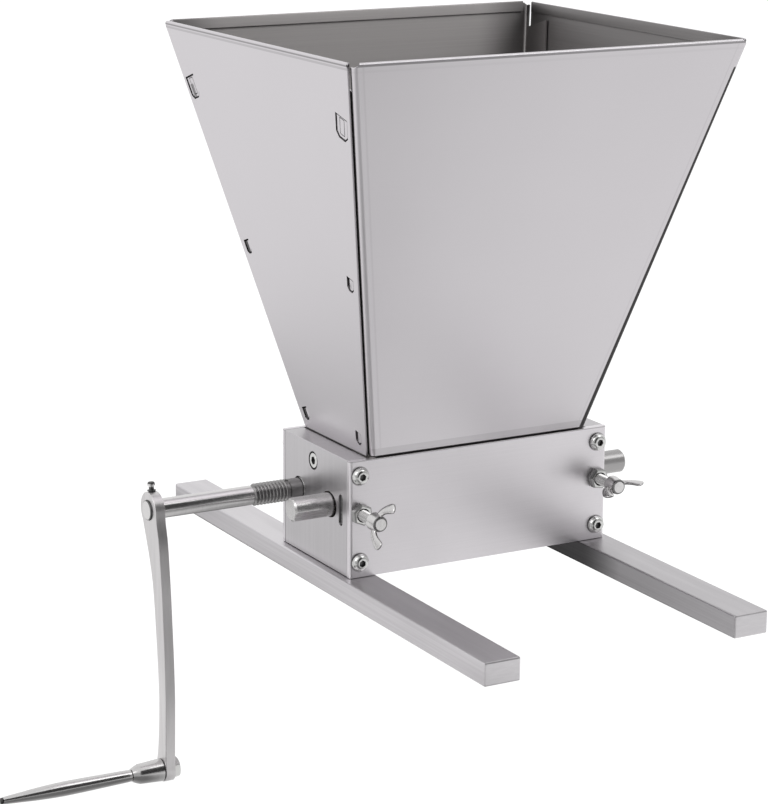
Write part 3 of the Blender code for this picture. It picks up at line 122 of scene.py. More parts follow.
class Nodes:
    """The nodes of one material or of the world."""

    def __init__(self, tree):
        self.tree = tree

    def make(self, kind, settings=None, sockets=None, output=0):
        """Adds a node: its type, then its settings, then the values or links of its sockets."""
        node = self.tree.nodes.new(kind)
        for name, setting in (settings or {}).items():
            setattr(node, name, setting)
        for name, value in (sockets or {}).items():
            self.join(value, node.inputs[name])
        return Value(self, node.outputs[output])

    def join(self, value, socket):
        """Links a Value to a socket, or sets the socket to a constant."""
        if isinstance(value, Value):
            self.tree.links.new(value.socket, socket)
        elif socket.type == "RGBA" and len(value) == 3:
            socket.default_value = (*value, 1)
        else:
            socket.default_value = value

    def outputs(self, kind, names, sockets=None):
        """Several outputs of one node."""
        node = self.make(kind, None, sockets).socket.node
        return [Value(self, node.outputs[name]) for name in names]

    def axes(self, vector):
        """The three coordinates of a vector."""
        return self.outputs("ShaderNodeSeparateXYZ", ("X", "Y", "Z"), {0: vector})

    def noise(self, place, scale, detail=3.0):
        """Noise over a surface, stretched by its scale along each axis."""
        spread = self.make("ShaderNodeMapping", None, {"Vector": place, "Scale": scale})
        return self.make(
            "ShaderNodeTexNoise", None, {"Vector": spread, "Scale": 1.0, "Detail": detail}
        )

    def mixed(self, factor, first, second):
        """A colour between two others."""
        return self.make(
            "ShaderNodeMix", {"data_type": "RGBA"}, {0: factor, 6: first, 7: second}, 2
        )

    def smooth(self, value, low, high, to_low=0.0, to_high=1.0):
        """Maps a number between two limits smoothly to a number between two others."""
        return self.make(
            "ShaderNodeMapRange",
            {"interpolation_type": "SMOOTHSTEP"},
            {0: value, 1: low, 2: high, 3: to_low, 4: to_high},
        )

    def band(self, value, low_out, low_in, high_in, high_out):
        """1 where a number lies between two limits, softening to 0 beyond each of them."""
        return self.smooth(value, low_out, low_in) * self.smooth(value, high_out, high_in)


class Finish(Nodes):
    """A metal finish: a constant shader, which the varying inputs are then fed to."""

    def __init__(self, name, colour, roughness):
        self.material = bpy.data.materials.new(name)
        self.material.use_nodes = True
        super().__init__(self.material.node_tree)
        self.shader = self.tree.nodes["Principled BSDF"]
        self.join(colour, self.shader.inputs["Base Color"])
        self.join(roughness, self.shader.inputs["Roughness"])
        self.join(1.0, self.shader.inputs["Metallic"])
        self.place = self.make("ShaderNodeTexCoord", output=3)

    def feed(self, **inputs):
        """Joins values to the shader's inputs, whose names have _ for each space here."""
        for name, value in inputs.items():
            self.join(value, self.shader.inputs[name.replace("_", " ")])

    def bump(self, height, distance):
        sockets = {"Height": height, "Distance": distance, "Strength": 1.0}
        return self.make("ShaderNodeBump", None, sockets)


def brushed(name, light, dark, roughness, grain_scale, spread=0.10, depth=0.00002):
    """Brushed metal: streaks in colour, roughness and height, and faint smudges from handling."""
    finish = Finish(name, light, roughness)
    grain = finish.noise(finish.place, grain_scale, 4.0)
    smudge = finish.noise(finish.place, (26.0, 26.0, 26.0), 2.0)
    finish.feed(
        Base_Color=finish.mixed(finish.smooth(grain, 0.30, 0.72), dark, light),
        Roughness=roughness + (grain - 0.5) * spread + (smudge - 0.5) * 0.08,
        Normal=finish.bump(grain, depth),
    )
    return finish.material


def dress(node, material):
    """Gives its finish to a solid that keeps its own shape."""
    obj = frame["nodes"][node]
    obj.data.materials.clear()
    obj.data.materials.append(material)


bar_low, bar_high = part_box("foot_bar_left")
bar_middle, bar_half = (bar_low.y + bar_high.y) / 2, (bar_high.y - bar_low.y) / 2
bar_finish = Finish("drawn_bar", (0.64, 0.62, 0.64), 0.33)
drawn = bar_finish.noise(bar_finish.place, (160.0, 9.0, 900.0), 4.0)
handled = bar_finish.noise(bar_finish.place, (26.0, 26.0, 26.0), 2.0)
bar_x, bar_y, bar_z = bar_finish.axes(bar_finish.place)
below_top = bar_high.z - bar_z
from_inner_side = abs(bar_x) + bar_high.x
# Painted light and shade: the inner sides are painted darker under the mill, the right bar is
# painted darker all over, and the sawn ends and the left bar's top in front of the mill are
# painted lighter
painted_shade_under_block = (
    bar_finish.smooth(from_inner_side, 0.00035, 0.00015)
    * bar_finish.smooth(below_top, 0.0, 0.0004)
    * bar_finish.smooth(abs(bar_y), 0.095, 0.040)
)
right_bar_painted_shade = bar_finish.smooth(bar_x, -0.010, 0.010)
sawn_end_painted_light = bar_finish.smooth(bar_half - abs(bar_y - bar_middle), 0.0003, 0.0001)
left_top_painted_light = (
    bar_finish.smooth(below_top, 0.0003, 0.0001)
    * bar_finish.smooth(bar_y, -0.036, -0.040)
    * bar_finish.smooth(bar_x, 0.010, -0.010)
)
skin = bar_finish.mixed(
    bar_finish.smooth(drawn, 0.30, 0.72), (0.60, 0.58, 0.60), (0.69, 0.67, 0.69)
)
bar_finish.feed(
    Base_Color=bar_finish.mixed(
        (painted_shade_under_block * 0.85).most(right_bar_painted_shade * 0.21),
        bar_finish.mixed((sawn_end_painted_light * 0.36).most(left_top_painted_light * 0.30), skin, (1.0, 0.98, 1.0)),
        (0.02, 0.02, 0.02),
    ),
    Roughness=0.33 + (drawn - 0.5) * 0.14 + (handled - 0.5) * 0.08,
    Normal=bar_finish.bump(drawn, 0.000006),
)
for side in ("left", "right"):
    dress(f"foot_bar_{side}", bar_finish.material)


# Screws under the bars
# Zinc plated socket head screws, let into the bars from below and driven into the blocks.

def plated(name, colour, roughness):
    """Bright zinc plating: nearly smooth, with a faint mottle."""
    finish = Finish(name, colour, roughness)
    mottle = finish.noise(finish.place, (420.0, 420.0, 420.0), 3.0)
    finish.feed(
        Base_Color=finish.mixed(mottle, tuple(0.82 * c for c in colour), colour),
        Roughness=roughness + (mottle - 0.5) * 0.10,
        Normal=finish.bump(mottle, 0.00001),
    )
    return finish.material


zinc = plated("bright_zinc_plating", (0.70, 0.70, 0.69), 0.20)
for side in ("left", "right"):
    for end in ("front", "rear"):
        dress(f"foot_screw_{side}_{end}", zinc)


# End blocks
# Two milled steel blocks hold both roller shafts. Each is bored for the shafts, slotted on its end
# face for the adjuster's nut plate, and stands on its bar.

BLOCK_X = 0.07225
DRIVE_Y, IDLE_Y, AXIS_Z = 0.0184, -0.0155, 0.0465

block_finish = Finish("milled_block", (0.56, 0.545, 0.56), 0.36)
cutter_marks = block_finish.noise(block_finish.place, (12.0, 700.0, 10.0), 3.0)
bands = block_finish.noise(block_finish.place, (8.0, 90.0, 3.0), 2.0)
block_x, block_y, block_z = block_finish.axes(block_finish.place)


def rim_round(y, z, radius, half_width):
    """A thin dark ring on an end face, where a bore or a counterbore is in shade."""
    across, over = block_y - y, block_z - z
    off = abs((across * across + over * over).root() - radius)
    return block_finish.smooth(off, half_width + 0.00012, half_width - 0.00012)


screw_low, screw_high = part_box("hopper_screw_left")
screw_middle = (screw_low + screw_high) / 2
rims = (
    rim_round(screw_middle.y, screw_middle.z, 0.0046, 0.00035)
    .most(rim_round(DRIVE_Y, AXIS_Z, 0.0061, 0.00045))
    .most(rim_round(IDLE_Y, AXIS_Z, 0.0066, 0.00035))
)
rims = rims * block_finish.smooth(abs(block_x), 0.0770, 0.0776)
block_finish.feed(
    Base_Color=block_finish.mixed(
        rims,
        block_finish.mixed(
            block_finish.smooth(cutter_marks + bands * 0.5, 0.50, 1.0),
            (0.535, 0.52, 0.535),
            (0.57, 0.555, 0.57),
        ),
        (0.03, 0.03, 0.03),
    ),
    Roughness=0.36 + (cutter_marks - 0.5) * 0.06 + (bands - 0.5) * 0.10,
    Normal=block_finish.bump(cutter_marks, 0.000006),
)
for side in ("left", "right"):
    dress(f"end_block_{side}", block_finish.material)


# Bronze bearings
# Turned bushes for the drive shaft, and square bearings that slide in the blocks for the idle
# shaft.

bronze = brushed(
    "bearing_bronze", (0.58, 0.40, 0.19), (0.44, 0.29, 0.12), 0.36, (300.0, 300.0, 300.0), 0.12
)
for side in ("left", "right"):
    dress(f"drive_bush_{side}", bronze)
    dress(f"idle_bearing_{side}", bronze)


# Front and rear plates
# Steel plates with rounded outer corners join the blocks. They are satin brushed along their
# length. A painted shade darkens each bolt's seat and the front plate's top edge a little.

BOLT_MIDDLE_Z, BOLT_RISE = 0.0434, 0.0230

plate_finish = Finish("satin_plate", (0.76, 0.735, 0.76), 0.36)
plate_grain = plate_finish.noise(plate_finish.place, (10.0, 300.0, 1300.0), 4.0)
plate_smudge = plate_finish.noise(plate_finish.place, (22.0, 22.0, 22.0), 2.0)
plate_x, _, plate_z = plate_finish.axes(plate_finish.place)
# The painted shade round each bolt's seat and along the front plate's top edge
from_bolt_x = abs(plate_x) - BLOCK_X
from_bolt_z = abs(plate_z - BOLT_MIDDLE_Z) - BOLT_RISE
from_bolt = (from_bolt_x * from_bolt_x + from_bolt_z * from_bolt_z).root()
bolt_seat_painted_shade = plate_finish.smooth(from_bolt, 0.0054, 0.0048) * 0.55
plate_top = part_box("front_plate")[1].z
top_edge_painted_shade = plate_finish.smooth(abs(plate_z - (plate_top - 0.00035)), 0.00035, 0.00012)
plate_finish.feed(
    Base_Color=plate_finish.mixed(
        bolt_seat_painted_shade.most(top_edge_painted_shade * 0.45),
        plate_finish.mixed(plate_grain, (0.73, 0.706, 0.73), (0.79, 0.764, 0.79)),
        (0.10, 0.097, 0.10),
    ),
    Roughness=0.36 + (plate_grain - 0.5) * 0.08 + (plate_smudge - 0.5) * 0.10,
    Normal=plate_finish.bump(plate_grain, 0.00001),
)
for face in ("front", "rear"):
    dress(f"{face}_plate", plate_finish.material)


# Button head bolts
# Four in each plate, threaded into the blocks: a low dome, a flat rim and a hex socket. Modelled
# once and copied to the eight places.

def choose(obj):
    """Makes an object the only selected one and the active one."""
    bpy.ops.object.select_all(action="DESELECT")
    bpy.context.view_layer.objects.active = obj
    obj.select_set(True)


def smoothed(obj, angle):
    """Shades a piece smooth up to an angle, with the broad faces' own normals up to the bends."""
    choose(obj)
    bpy.ops.object.shade_smooth_by_angle(angle=math.radians(angle))
    weigh = obj.modifiers.new("weigh", "WEIGHTED_NORMAL")
    weigh.mode = "FACE_AREA"
    weigh.weight = 100
    weigh.keep_sharp = True
    bpy.ops.object.modifier_apply(modifier="weigh")


def settle(name, material, angle=30.0):
    """Leaves edit mode, puts the piece's place into its mesh, and shades it."""
    bpy.ops.object.mode_set(mode="OBJECT")
    obj = bpy.context.object
    bpy.ops.object.transform_apply(location=True, rotation=True, scale=True)
    smoothed(obj, angle)
    obj.name = obj.data.name = name
    obj.data.materials.clear()
    obj.data.materials.append(material)
    return obj


def start_edit():
    """Enters edit mode with every face selected."""
    bpy.ops.object.mode_set(mode="EDIT")
    bpy.ops.mesh.select_mode(type="FACE")
    bpy.ops.mesh.select_all(action="SELECT")


def turn(name, stations, material, segments=48, angle=30.0):
    """A turned piece along +Z: a disc whose face is pushed on and resized at each station.

    A station is a radius and a distance along."""
    (radius, along), *rest = stations
    bpy.ops.object.select_all(action="DESELECT")
    bpy.ops.mesh.primitive_circle_add(
        vertices=segments, radius=radius, fill_type="NGON", location=(0, 0, along)
    )
    start_edit()
    for next_radius, next_along in rest:
        bpy.ops.mesh.extrude_region_move(
            TRANSFORM_OT_translate={"value": (0, 0, next_along - along)}
        )
        ratio = next_radius / radius
        bpy.ops.transform.resize(
            value=(ratio, ratio, ratio), center_override=(0, 0, next_along)
        )
        radius, along = next_radius, next_along
    bpy.ops.mesh.select_all(action="SELECT")
    bpy.ops.mesh.normals_make_consistent(inside=False)
    return settle(name, material, angle)


def cut(obj, cutter, material=None, angle=30.0):
    """Cuts one piece out of another, whose cut faces may have a finish of their own."""
    choose(obj)
    modifier = obj.modifiers.new("cut", "BOOLEAN")
    modifier.solver = "EXACT"
    modifier.object = cutter
    if material:
        cutter.data.materials.append(material)
        modifier.material_mode = "TRANSFER"
    bpy.ops.object.modifier_apply(modifier="cut")
    bpy.data.objects.remove(cutter, do_unlink=True)
    smoothed(obj, angle)
    return obj


def hex_cutter(across, low, high, twist=0.0):
    """A hexagonal cutter along +Z, by its size across the flats."""
    bpy.ops.object.select_all(action="DESELECT")
    bpy.ops.mesh.primitive_cylinder_add(
        vertices=6,
        radius=across / math.sqrt(3),
        depth=high - low,
        location=(0, 0, (low + high) / 2),
        rotation=(0, 0, math.radians(twist)),
    )
    bpy.ops.object.transform_apply(location=True, rotation=True, scale=True)
    return bpy.context.object


def joined(first, *others):
    """Several shells of one piece as one object."""
    bpy.ops.object.select_all(action="DESELECT")
    for obj in (first, *others):
        obj.select_set(True)
    bpy.context.view_layer.objects.active = first
    bpy.ops.object.join()
    return first


FACING = {
    "X": Matrix.Rotation(math.pi / 2, 4, "Y"),
    "-X": Matrix.Rotation(-math.pi / 2, 4, "Y"),
    "Y": Matrix.Rotation(-math.pi / 2, 4, "X"),
    "-Y": Matrix.Rotation(math.pi / 2, 4, "X"),
}


def stand(obj, place, facing, twist=0.0):
    """Moves a finished mesh made along +Z to its place, turned to the way that it faces."""
    spin = Matrix.Rotation(math.radians(twist), 4, "Z")
    obj.data.transform(Matrix.Translation(place) @ FACING[facing] @ spin)
    return obj


def copy_of(obj, name):
    """A copy with a mesh of its own."""
    made = obj.copy()
    made.data = obj.data.copy()
    made.name = made.data.name = name
    bpy.context.scene.collection.objects.link(made)
    return made


bolt = turn(
    "button_bolt",
    [
        (0.00455, 0.0003),
        (0.00470, 0.0004),
        (0.00470, 0.0009),
        (0.00455, 0.0016),
        (0.00410, 0.0024),
        (0.00345, 0.0030),
        (0.00265, 0.0033),
        (0.00240, 0.0033),
    ],
    zinc,
)
# A painted shade for hollows: the sockets, the nuts' bores and the crank rod's end wall by the arm
painted_hollow_shade = plated("painted_hollow_shade_plating", (0.20, 0.20, 0.20), 0.45)
cut(bolt, hex_cutter(0.0034, 0.0016, 0.0040), painted_hollow_shade)
# Each bolt's socket is turned this much on from the one before, as no two end up alike
BOLT_TWIST = 23.0
bolt_places = [
    (f"{face}_bolt_{side}_{level}", face, facing)
    for side in ("left", "right")
    for level in ("lower", "upper")
    for face, facing in (("front", "-Y"), ("rear", "Y"))
]
for index, (node, face, facing) in enumerate(bolt_places):
    low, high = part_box(node)
    middle = (low + high) / 2
    plate_low, plate_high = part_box(f"{face}_plate")
    middle.y = plate_low.y if face == "front" else plate_high.y
    piece = stand(copy_of(bolt, f"dressed_{node}"), middle, facing, BOLT_TWIST * index)
    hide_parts(node)
    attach(piece, "frame")
bpy.data.objects.remove(bolt, do_unlink=True)


# Rollers
# Two steel rollers, diamond knurled so that they catch the grain. The rear one is driven by the
# crank. The front one has the longer shaft, with three flats for a drill's chuck at the left.

ROLLER_RADIUS, ROLLER_END, ROLLER_CHAMFER = 0.016, 0.0650, 0.0009
KNURL_PITCH, KNURL_SLANT = 0.0017, 0.6


def knurled(name, axis_y):
    """Knurled round the roller's own axis: two sets of helical grooves that cross."""
    finish = Finish(name, (0.50, 0.49, 0.49), 0.30)
    x, y, z = finish.axes(finish.place)
    y, z = y - axis_y, z - AXIS_Z
    radius = (y * y + z * z).root()
    teeth = round(math.tau * ROLLER_RADIUS / KNURL_PITCH)
    round_way = y.math("ARCTAN2", y, z) * (teeth / math.tau)
    along = x / KNURL_PITCH
    leaning = (round_way + along * KNURL_SLANT).fraction()
    crossing = (round_way - along * KNURL_SLANT).fraction()
    height = (abs(leaning - 0.5) * 2.0).least(abs(crossing - 0.5) * 2.0)
    body = finish.smooth(radius, 0.0140, 0.0156) * finish.smooth(abs(x), 0.0648, 0.0642)
    scratch = finish.noise(finish.place, (25.0, 600.0, 600.0), 3.0)
    rubbed = finish.noise(finish.place, (60.0, 160.0, 160.0), 2.0)
    turned = finish.mixed(scratch, (0.46, 0.45, 0.45), (0.64, 0.63, 0.63))
    # The knurl is coloured darker than the turned steel, darkest in its grooves: painted shade
    knurl = finish.mixed(height, (0.20, 0.195, 0.19), (0.42, 0.41, 0.405))
    # A painted shade darkens the idle shaft's right end, beyond the block
    right_end_painted_shade = finish.smooth(x, 0.0780, 0.0790) * 0.34
    finish.feed(
        Base_Color=finish.mixed(body, finish.mixed(right_end_painted_shade, turned, (0.05, 0.05, 0.05)), knurl),
        Roughness=0.28 + (scratch - 0.5) * 0.14 + (rubbed - 0.5) * 0.12 + body * 0.06,
        Normal=finish.bump(height * body + scratch * 0.006, 0.0005),
    )
    return finish.material


def roller(name, axis_y, shaft, chamfer, left, right):
    """A knurled roller and its shaft, turned in one piece, between its left and right ends."""
    outline = [
        (shaft - chamfer, left),
        (shaft, left + chamfer),
        (shaft, -ROLLER_END),
        (ROLLER_RADIUS - ROLLER_CHAMFER, -ROLLER_END),
        (ROLLER_RADIUS, ROLLER_CHAMFER - ROLLER_END),
        (ROLLER_RADIUS, ROLLER_END - ROLLER_CHAMFER),
        (ROLLER_RADIUS - ROLLER_CHAMFER, ROLLER_END),
        (shaft, ROLLER_END),
        (shaft, right - chamfer),
        (shaft - chamfer, right),
    ]
    return turn(f"knurled_{name}", outline, knurled(f"{name}_knurl", axis_y), 96, 20.0)


drive_roller = roller("drive_roller", DRIVE_Y, 0.0060, 0.0004, -0.0777, 0.0777)
stand(drive_roller, (0, DRIVE_Y, AXIS_Z), "X")
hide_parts("drive_roller")
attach(drive_roller, "crank")

idle_roller = roller("idle_roller", IDLE_Y, 0.00625, 0.0009, -0.1005, 0.1028)
# The flats' height over the axis and their middle along it
FLAT_RISE, FLAT_ALONG, FLAT_CUBE = 0.00555, -0.0915, 0.02
for index in range(3):
    bpy.ops.object.select_all(action="DESELECT")
    bpy.ops.mesh.primitive_cube_add(size=FLAT_CUBE, location=(0, 0, 0))
    flat = bpy.context.object
    flat.data.transform(Matrix.Translation((FLAT_CUBE / 2 + FLAT_RISE, 0, FLAT_ALONG)))
    flat.data.transform(Matrix.Rotation(math.tau * index / 3 + math.pi, 4, "Z"))
    cut(idle_roller, flat, None, 20.0)
stand(idle_roller, (0, IDLE_Y, AXIS_Z), "X")
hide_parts("idle_roller")
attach(idle_roller, "idle")


# Gap adjusters
# A cast and plated wing screw at each end pushes the idle roller's bearing. It turns in a nut
# plate in the block's slot, and a hex nut locks it against the front plate.

PLATE_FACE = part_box("front_plate")[0].y


def thread(name, core, crest, pitch, start, end, material, segments=32):
    """A helical thread along +Z: one ridge's outline, wound round a core that it sinks into."""
    mesh = bpy.data.meshes.new(name)
    sunk = core - (crest - core) * 0.4
    mesh.from_pydata(
        [
            (sunk, 0, start),
            (core, 0, start + pitch * 0.06),
            (crest, 0, start + pitch * 0.44),
            (crest, 0, start + pitch * 0.56),
            (core, 0, start + pitch * 0.94),
            (sunk, 0, start + pitch),
        ],
        [(0, 1), (1, 2), (2, 3), (3, 4), (4, 5), (5, 0)],
        [],
    )
    ridge = bpy.data.objects.new(name, mesh)
    bpy.context.scene.collection.objects.link(ridge)
    choose(ridge)
    wind = ridge.modifiers.new("wind", "SCREW")
    wind.axis = "Z"
    wind.angle = math.tau
    wind.screw_offset = pitch
    wind.iterations = int((end - start) / pitch)
    wind.steps = wind.render_steps = segments
    bpy.ops.object.modifier_apply(modifier="wind")
    bpy.ops.object.mode_set(mode="EDIT")
    bpy.ops.mesh.select_mode(type="EDGE")
    bpy.ops.mesh.select_all(action="DESELECT")
    bpy.ops.mesh.select_non_manifold(extend=False)
    bpy.ops.mesh.edge_face_add()
    bpy.ops.mesh.select_all(action="SELECT")
    bpy.ops.mesh.normals_make_consistent(inside=False)
    return settle(name, material)


def cast_plating(name, dark, light):
    """Plating over a rough casting: pits, and a skin that waves a little."""
    finish = Finish(name, light, 0.24)
    pits = finish.noise(finish.place, (650.0, 650.0, 650.0), 3.0)
    skin = finish.noise(finish.place, (160.0, 160.0, 160.0), 2.0)
    finish.feed(
        Base_Color=finish.mixed(skin, dark, light),
        Roughness=0.24 + (pits - 0.5) * 0.14,
        Normal=finish.bump(pits * 0.3 + skin, 0.00016),
    )
    return finish.material


cast_wing = cast_plating("cast_wing_plating", (0.56, 0.55, 0.55), (0.72, 0.71, 0.71))
# The same plating darker, as painted shade on the hubs' end rings and the wings' edges
painted_edge_shade = cast_plating("painted_edge_shade_plating", (0.14, 0.138, 0.138), (0.24, 0.237, 0.237))


def shade_faces(obj, material, wanted):
    """Gives a second finish to the faces of a piece whose centre and normal pass a test."""
    obj.data.materials.append(material)
    slot = len(obj.data.materials) - 1
    for polygon in obj.data.polygons:
        if wanted(polygon.center, polygon.normal):
            polygon.material_index = slot


def wing_loft(name, stations, material):
    """One wing as a box whose outer face is pushed on, leaned and resized at each station.

    A station is a distance out, a distance forward, a width, a thickness and a lean."""
    out, forward, width, thick, lean = stations[0]
    bpy.ops.object.select_all(action="DESELECT")
    bpy.ops.mesh.primitive_plane_add(size=1.0, location=(0, 0, 0), rotation=(0, math.pi / 2, 0))
    plane = bpy.context.object
    bpy.ops.object.transform_apply(location=True, rotation=True, scale=True)
    start_edit()
    bpy.ops.transform.resize(value=(1, thick, width), center_override=(0, 0, 0))
    bpy.ops.transform.translate(value=(out, 0, forward))
    for next_out, next_forward, next_width, next_thick, next_lean in stations[1:]:
        bpy.ops.mesh.extrude_region_move(
            TRANSFORM_OT_translate={"value": (next_out - out, 0, next_forward - forward)}
        )
        centre = Vector((next_out, 0, next_forward))
        leaned, leaned_on = (
            Matrix.Rotation(math.radians(angle), 4, "Y") for angle in (lean, next_lean)
        )
        bpy.ops.object.mode_set(mode="OBJECT")
        for vertex in plane.data.vertices:
            if vertex.select:
                offset = vertex.co - centre
                offset.rotate(leaned.inverted())
                offset.y *= next_thick / thick
                offset.z *= next_width / width
                offset.rotate(leaned_on)
                vertex.co = centre + offset
        bpy.ops.object.mode_set(mode="EDIT")
        out, forward, width, thick, lean = next_out, next_forward, next_width, next_thick, next_lean
    bpy.ops.mesh.select_all(action="SELECT")
    bpy.ops.mesh.normals_make_consistent(inside=False)
    bpy.ops.object.mode_set(mode="OBJECT")
    rounding = plane.modifiers.new("round", "SUBSURF")
    rounding.levels = rounding.render_levels = 3
    bpy.ops.object.modifier_apply(modifier="round")
    return settle(name, material, 60.0)


HUB_LENGTH = 0.0075
THREAD_CORE, THREAD_CREST, THREAD_PITCH, THREAD_START = 0.00262, 0.0030, 0.001, -0.0138
NUT_BORE, NUT_CORNERS = 0.0037, 0.00577
# The distances forward are measured from the hub's free end
WING_STATIONS = [
    (0.0020, -0.0046, 0.0050, 0.0032, 0.0),
    (0.0046, -0.0042, 0.0048, 0.0026, -8.0),
    (0.0066, -0.0026, 0.0050, 0.0022, -30.0),
    (0.0084, 0.0006, 0.0056, 0.0020, -44.0),
    (0.0098, 0.0040, 0.0064, 0.0019, -54.0),
    (0.0107, 0.0070, 0.0056, 0.0018, -60.0),
]
# The nuts' side faces are painted in shade: the same zinc plating, darker
painted_side_shade = plated("zinc_in_shade", (0.42, 0.42, 0.415), 0.30)
for side, sign, reach, wing_twist, nut_twist in (
    ("left", -1, 0.0224, 66.0, 8.0),
    ("right", 1, 0.0222, 12.0, 21.0),
):
    axis_place = (sign * BLOCK_X, PLATE_FACE, AXIS_Z)
    base = reach - HUB_LENGTH
    hub = turn(
        f"hub_{side}",
        [
            (0.0040, base - 0.0001),
            (0.0047, base + 0.0002),
            (0.0047, base + 0.0010),
            (0.0044, base + 0.0040),
            (0.0041, reach - 0.0010),
            (0.0038, reach - 0.0004),
            (0.0032, reach - 0.0003),
            (0.0030, reach),
        ],
        cast_wing,
    )
    # The painted shade on the ring round the hub's end face
    shade_faces(
        hub, painted_edge_shade, lambda c, n: math.hypot(c.x, c.y) > 0.0027 and c.z > reach - 0.0011
    )
    shank = turn(
        f"shank_{side}",
        [(0.0024, -0.0143), (THREAD_CORE, -0.0140), (THREAD_CORE, base + 0.001)],
        cast_wing,
        32,
    )
    screw_thread = thread(
        f"thread_{side}",
        THREAD_CORE,
        THREAD_CREST,
        THREAD_PITCH,
        THREAD_START,
        base,
        cast_wing,
        28,
    )
    wings = []
    for half_turn in (0.0, 180.0):
        wing = wing_loft(
            f"wing_{side}",
            [(out, reach + forward, *rest) for out, forward, *rest in WING_STATIONS],
            cast_wing,
        )
        # The painted shade on the wings' edges
        shade_faces(wing, painted_edge_shade, lambda c, n: abs(n.y) < 0.45 and c.x > 0.0046)
        wing.data.transform(Matrix.Rotation(math.radians(half_turn), 4, "Z"))
        wings.append(wing)
    screw = joined(hub, shank, screw_thread, *wings)
    screw.name = screw.data.name = f"dressed_wing_screw_{side}"
    stand(screw, axis_place, "-Y", wing_twist)
    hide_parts(f"wing_screw_{side}")
    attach(screw, f"wing_{side}")

    nut = turn(
        f"dressed_lock_nut_{side}",
        [(0.0050, 0.0003), (NUT_CORNERS, 0.0007), (NUT_CORNERS, 0.0036), (0.0049, 0.0041)],
        zinc,
        6,
    )
    bpy.ops.object.select_all(action="DESELECT")
    bpy.ops.mesh.primitive_cylinder_add(
        vertices=32, radius=NUT_BORE, depth=0.01, location=(0, 0, 0.002)
    )
    # The nut's bore takes the painted hollow shade, and its side faces the painted side shade
    cut(nut, bpy.context.object, painted_hollow_shade)
    shade_faces(nut, painted_side_shade, lambda c, n: abs(n.z) < 0.9 and math.hypot(c.x, c.y) > 0.0043)
    stand(nut, axis_place, "-Y", nut_twist)
    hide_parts(f"lock_nut_{side}")
    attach(nut, f"nut_{side}")

nut_plate_finish = brushed(
    "nut_plate_steel", (0.30, 0.30, 0.30), (0.18, 0.18, 0.18), 0.42, (600.0, 60.0, 600.0), 0.14
)
for side in ("left", "right"):
    dress(f"adjuster_nut_{side}", nut_plate_finish)


# Hopper sheets
# Four sheets of brushed stainless steel, folded and hemmed. The front and rear ones turn back
# along the side ones, and their tabs stand in shield-shaped slots of the side sheets.

THROAT_Z, RIM_Z = 0.0748, 0.2859
THROAT_LENGTH, THROAT_DEPTH = 0.0662, 0.0372
LEAN_X, LEAN_Y = 0.2288, 0.3214
CORNER_INSET = 0.0037
BEND_ANGLE = 50.0


def half_length(z):
    """From the middle to a side sheet's outer face at a height, which may be a Value."""
    return (z - THROAT_Z) * LEAN_X + THROAT_LENGTH


def half_depth(z):
    """From the middle to the front or rear sheet's outer face at a height."""
    return (z - THROAT_Z) * LEAN_Y + THROAT_DEPTH


# The rim's front left corner, which the slots are measured from, and the ways outward, down along
# the corner and across from it
CORNER = Vector((-half_length(RIM_Z), CORNER_INSET - half_depth(RIM_Z), RIM_Z))
OUTWARD = Vector((-1, 0, -LEAN_X)).normalized()
DOWN = Vector((LEAN_X, LEAN_Y, -1)).normalized()
ACROSS = DOWN.cross(OUTWARD).normalized()


def merged_copy(name, node, material, angle=30.0):
    """A welded copy of a solid whose shape is right, so that its bends can be shaded smooth."""
    obj = copy_of(frame["nodes"][node], name)
    obj.parent = None
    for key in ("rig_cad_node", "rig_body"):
        if key in obj:
            del obj[key]
    choose(obj)
    bpy.ops.object.mode_set(mode="EDIT")
    bpy.ops.mesh.select_all(action="SELECT")
    bpy.ops.mesh.remove_doubles(threshold=0.000002)
    bpy.ops.mesh.dissolve_limited(angle_limit=math.radians(0.5))
    return settle(name, material, angle)


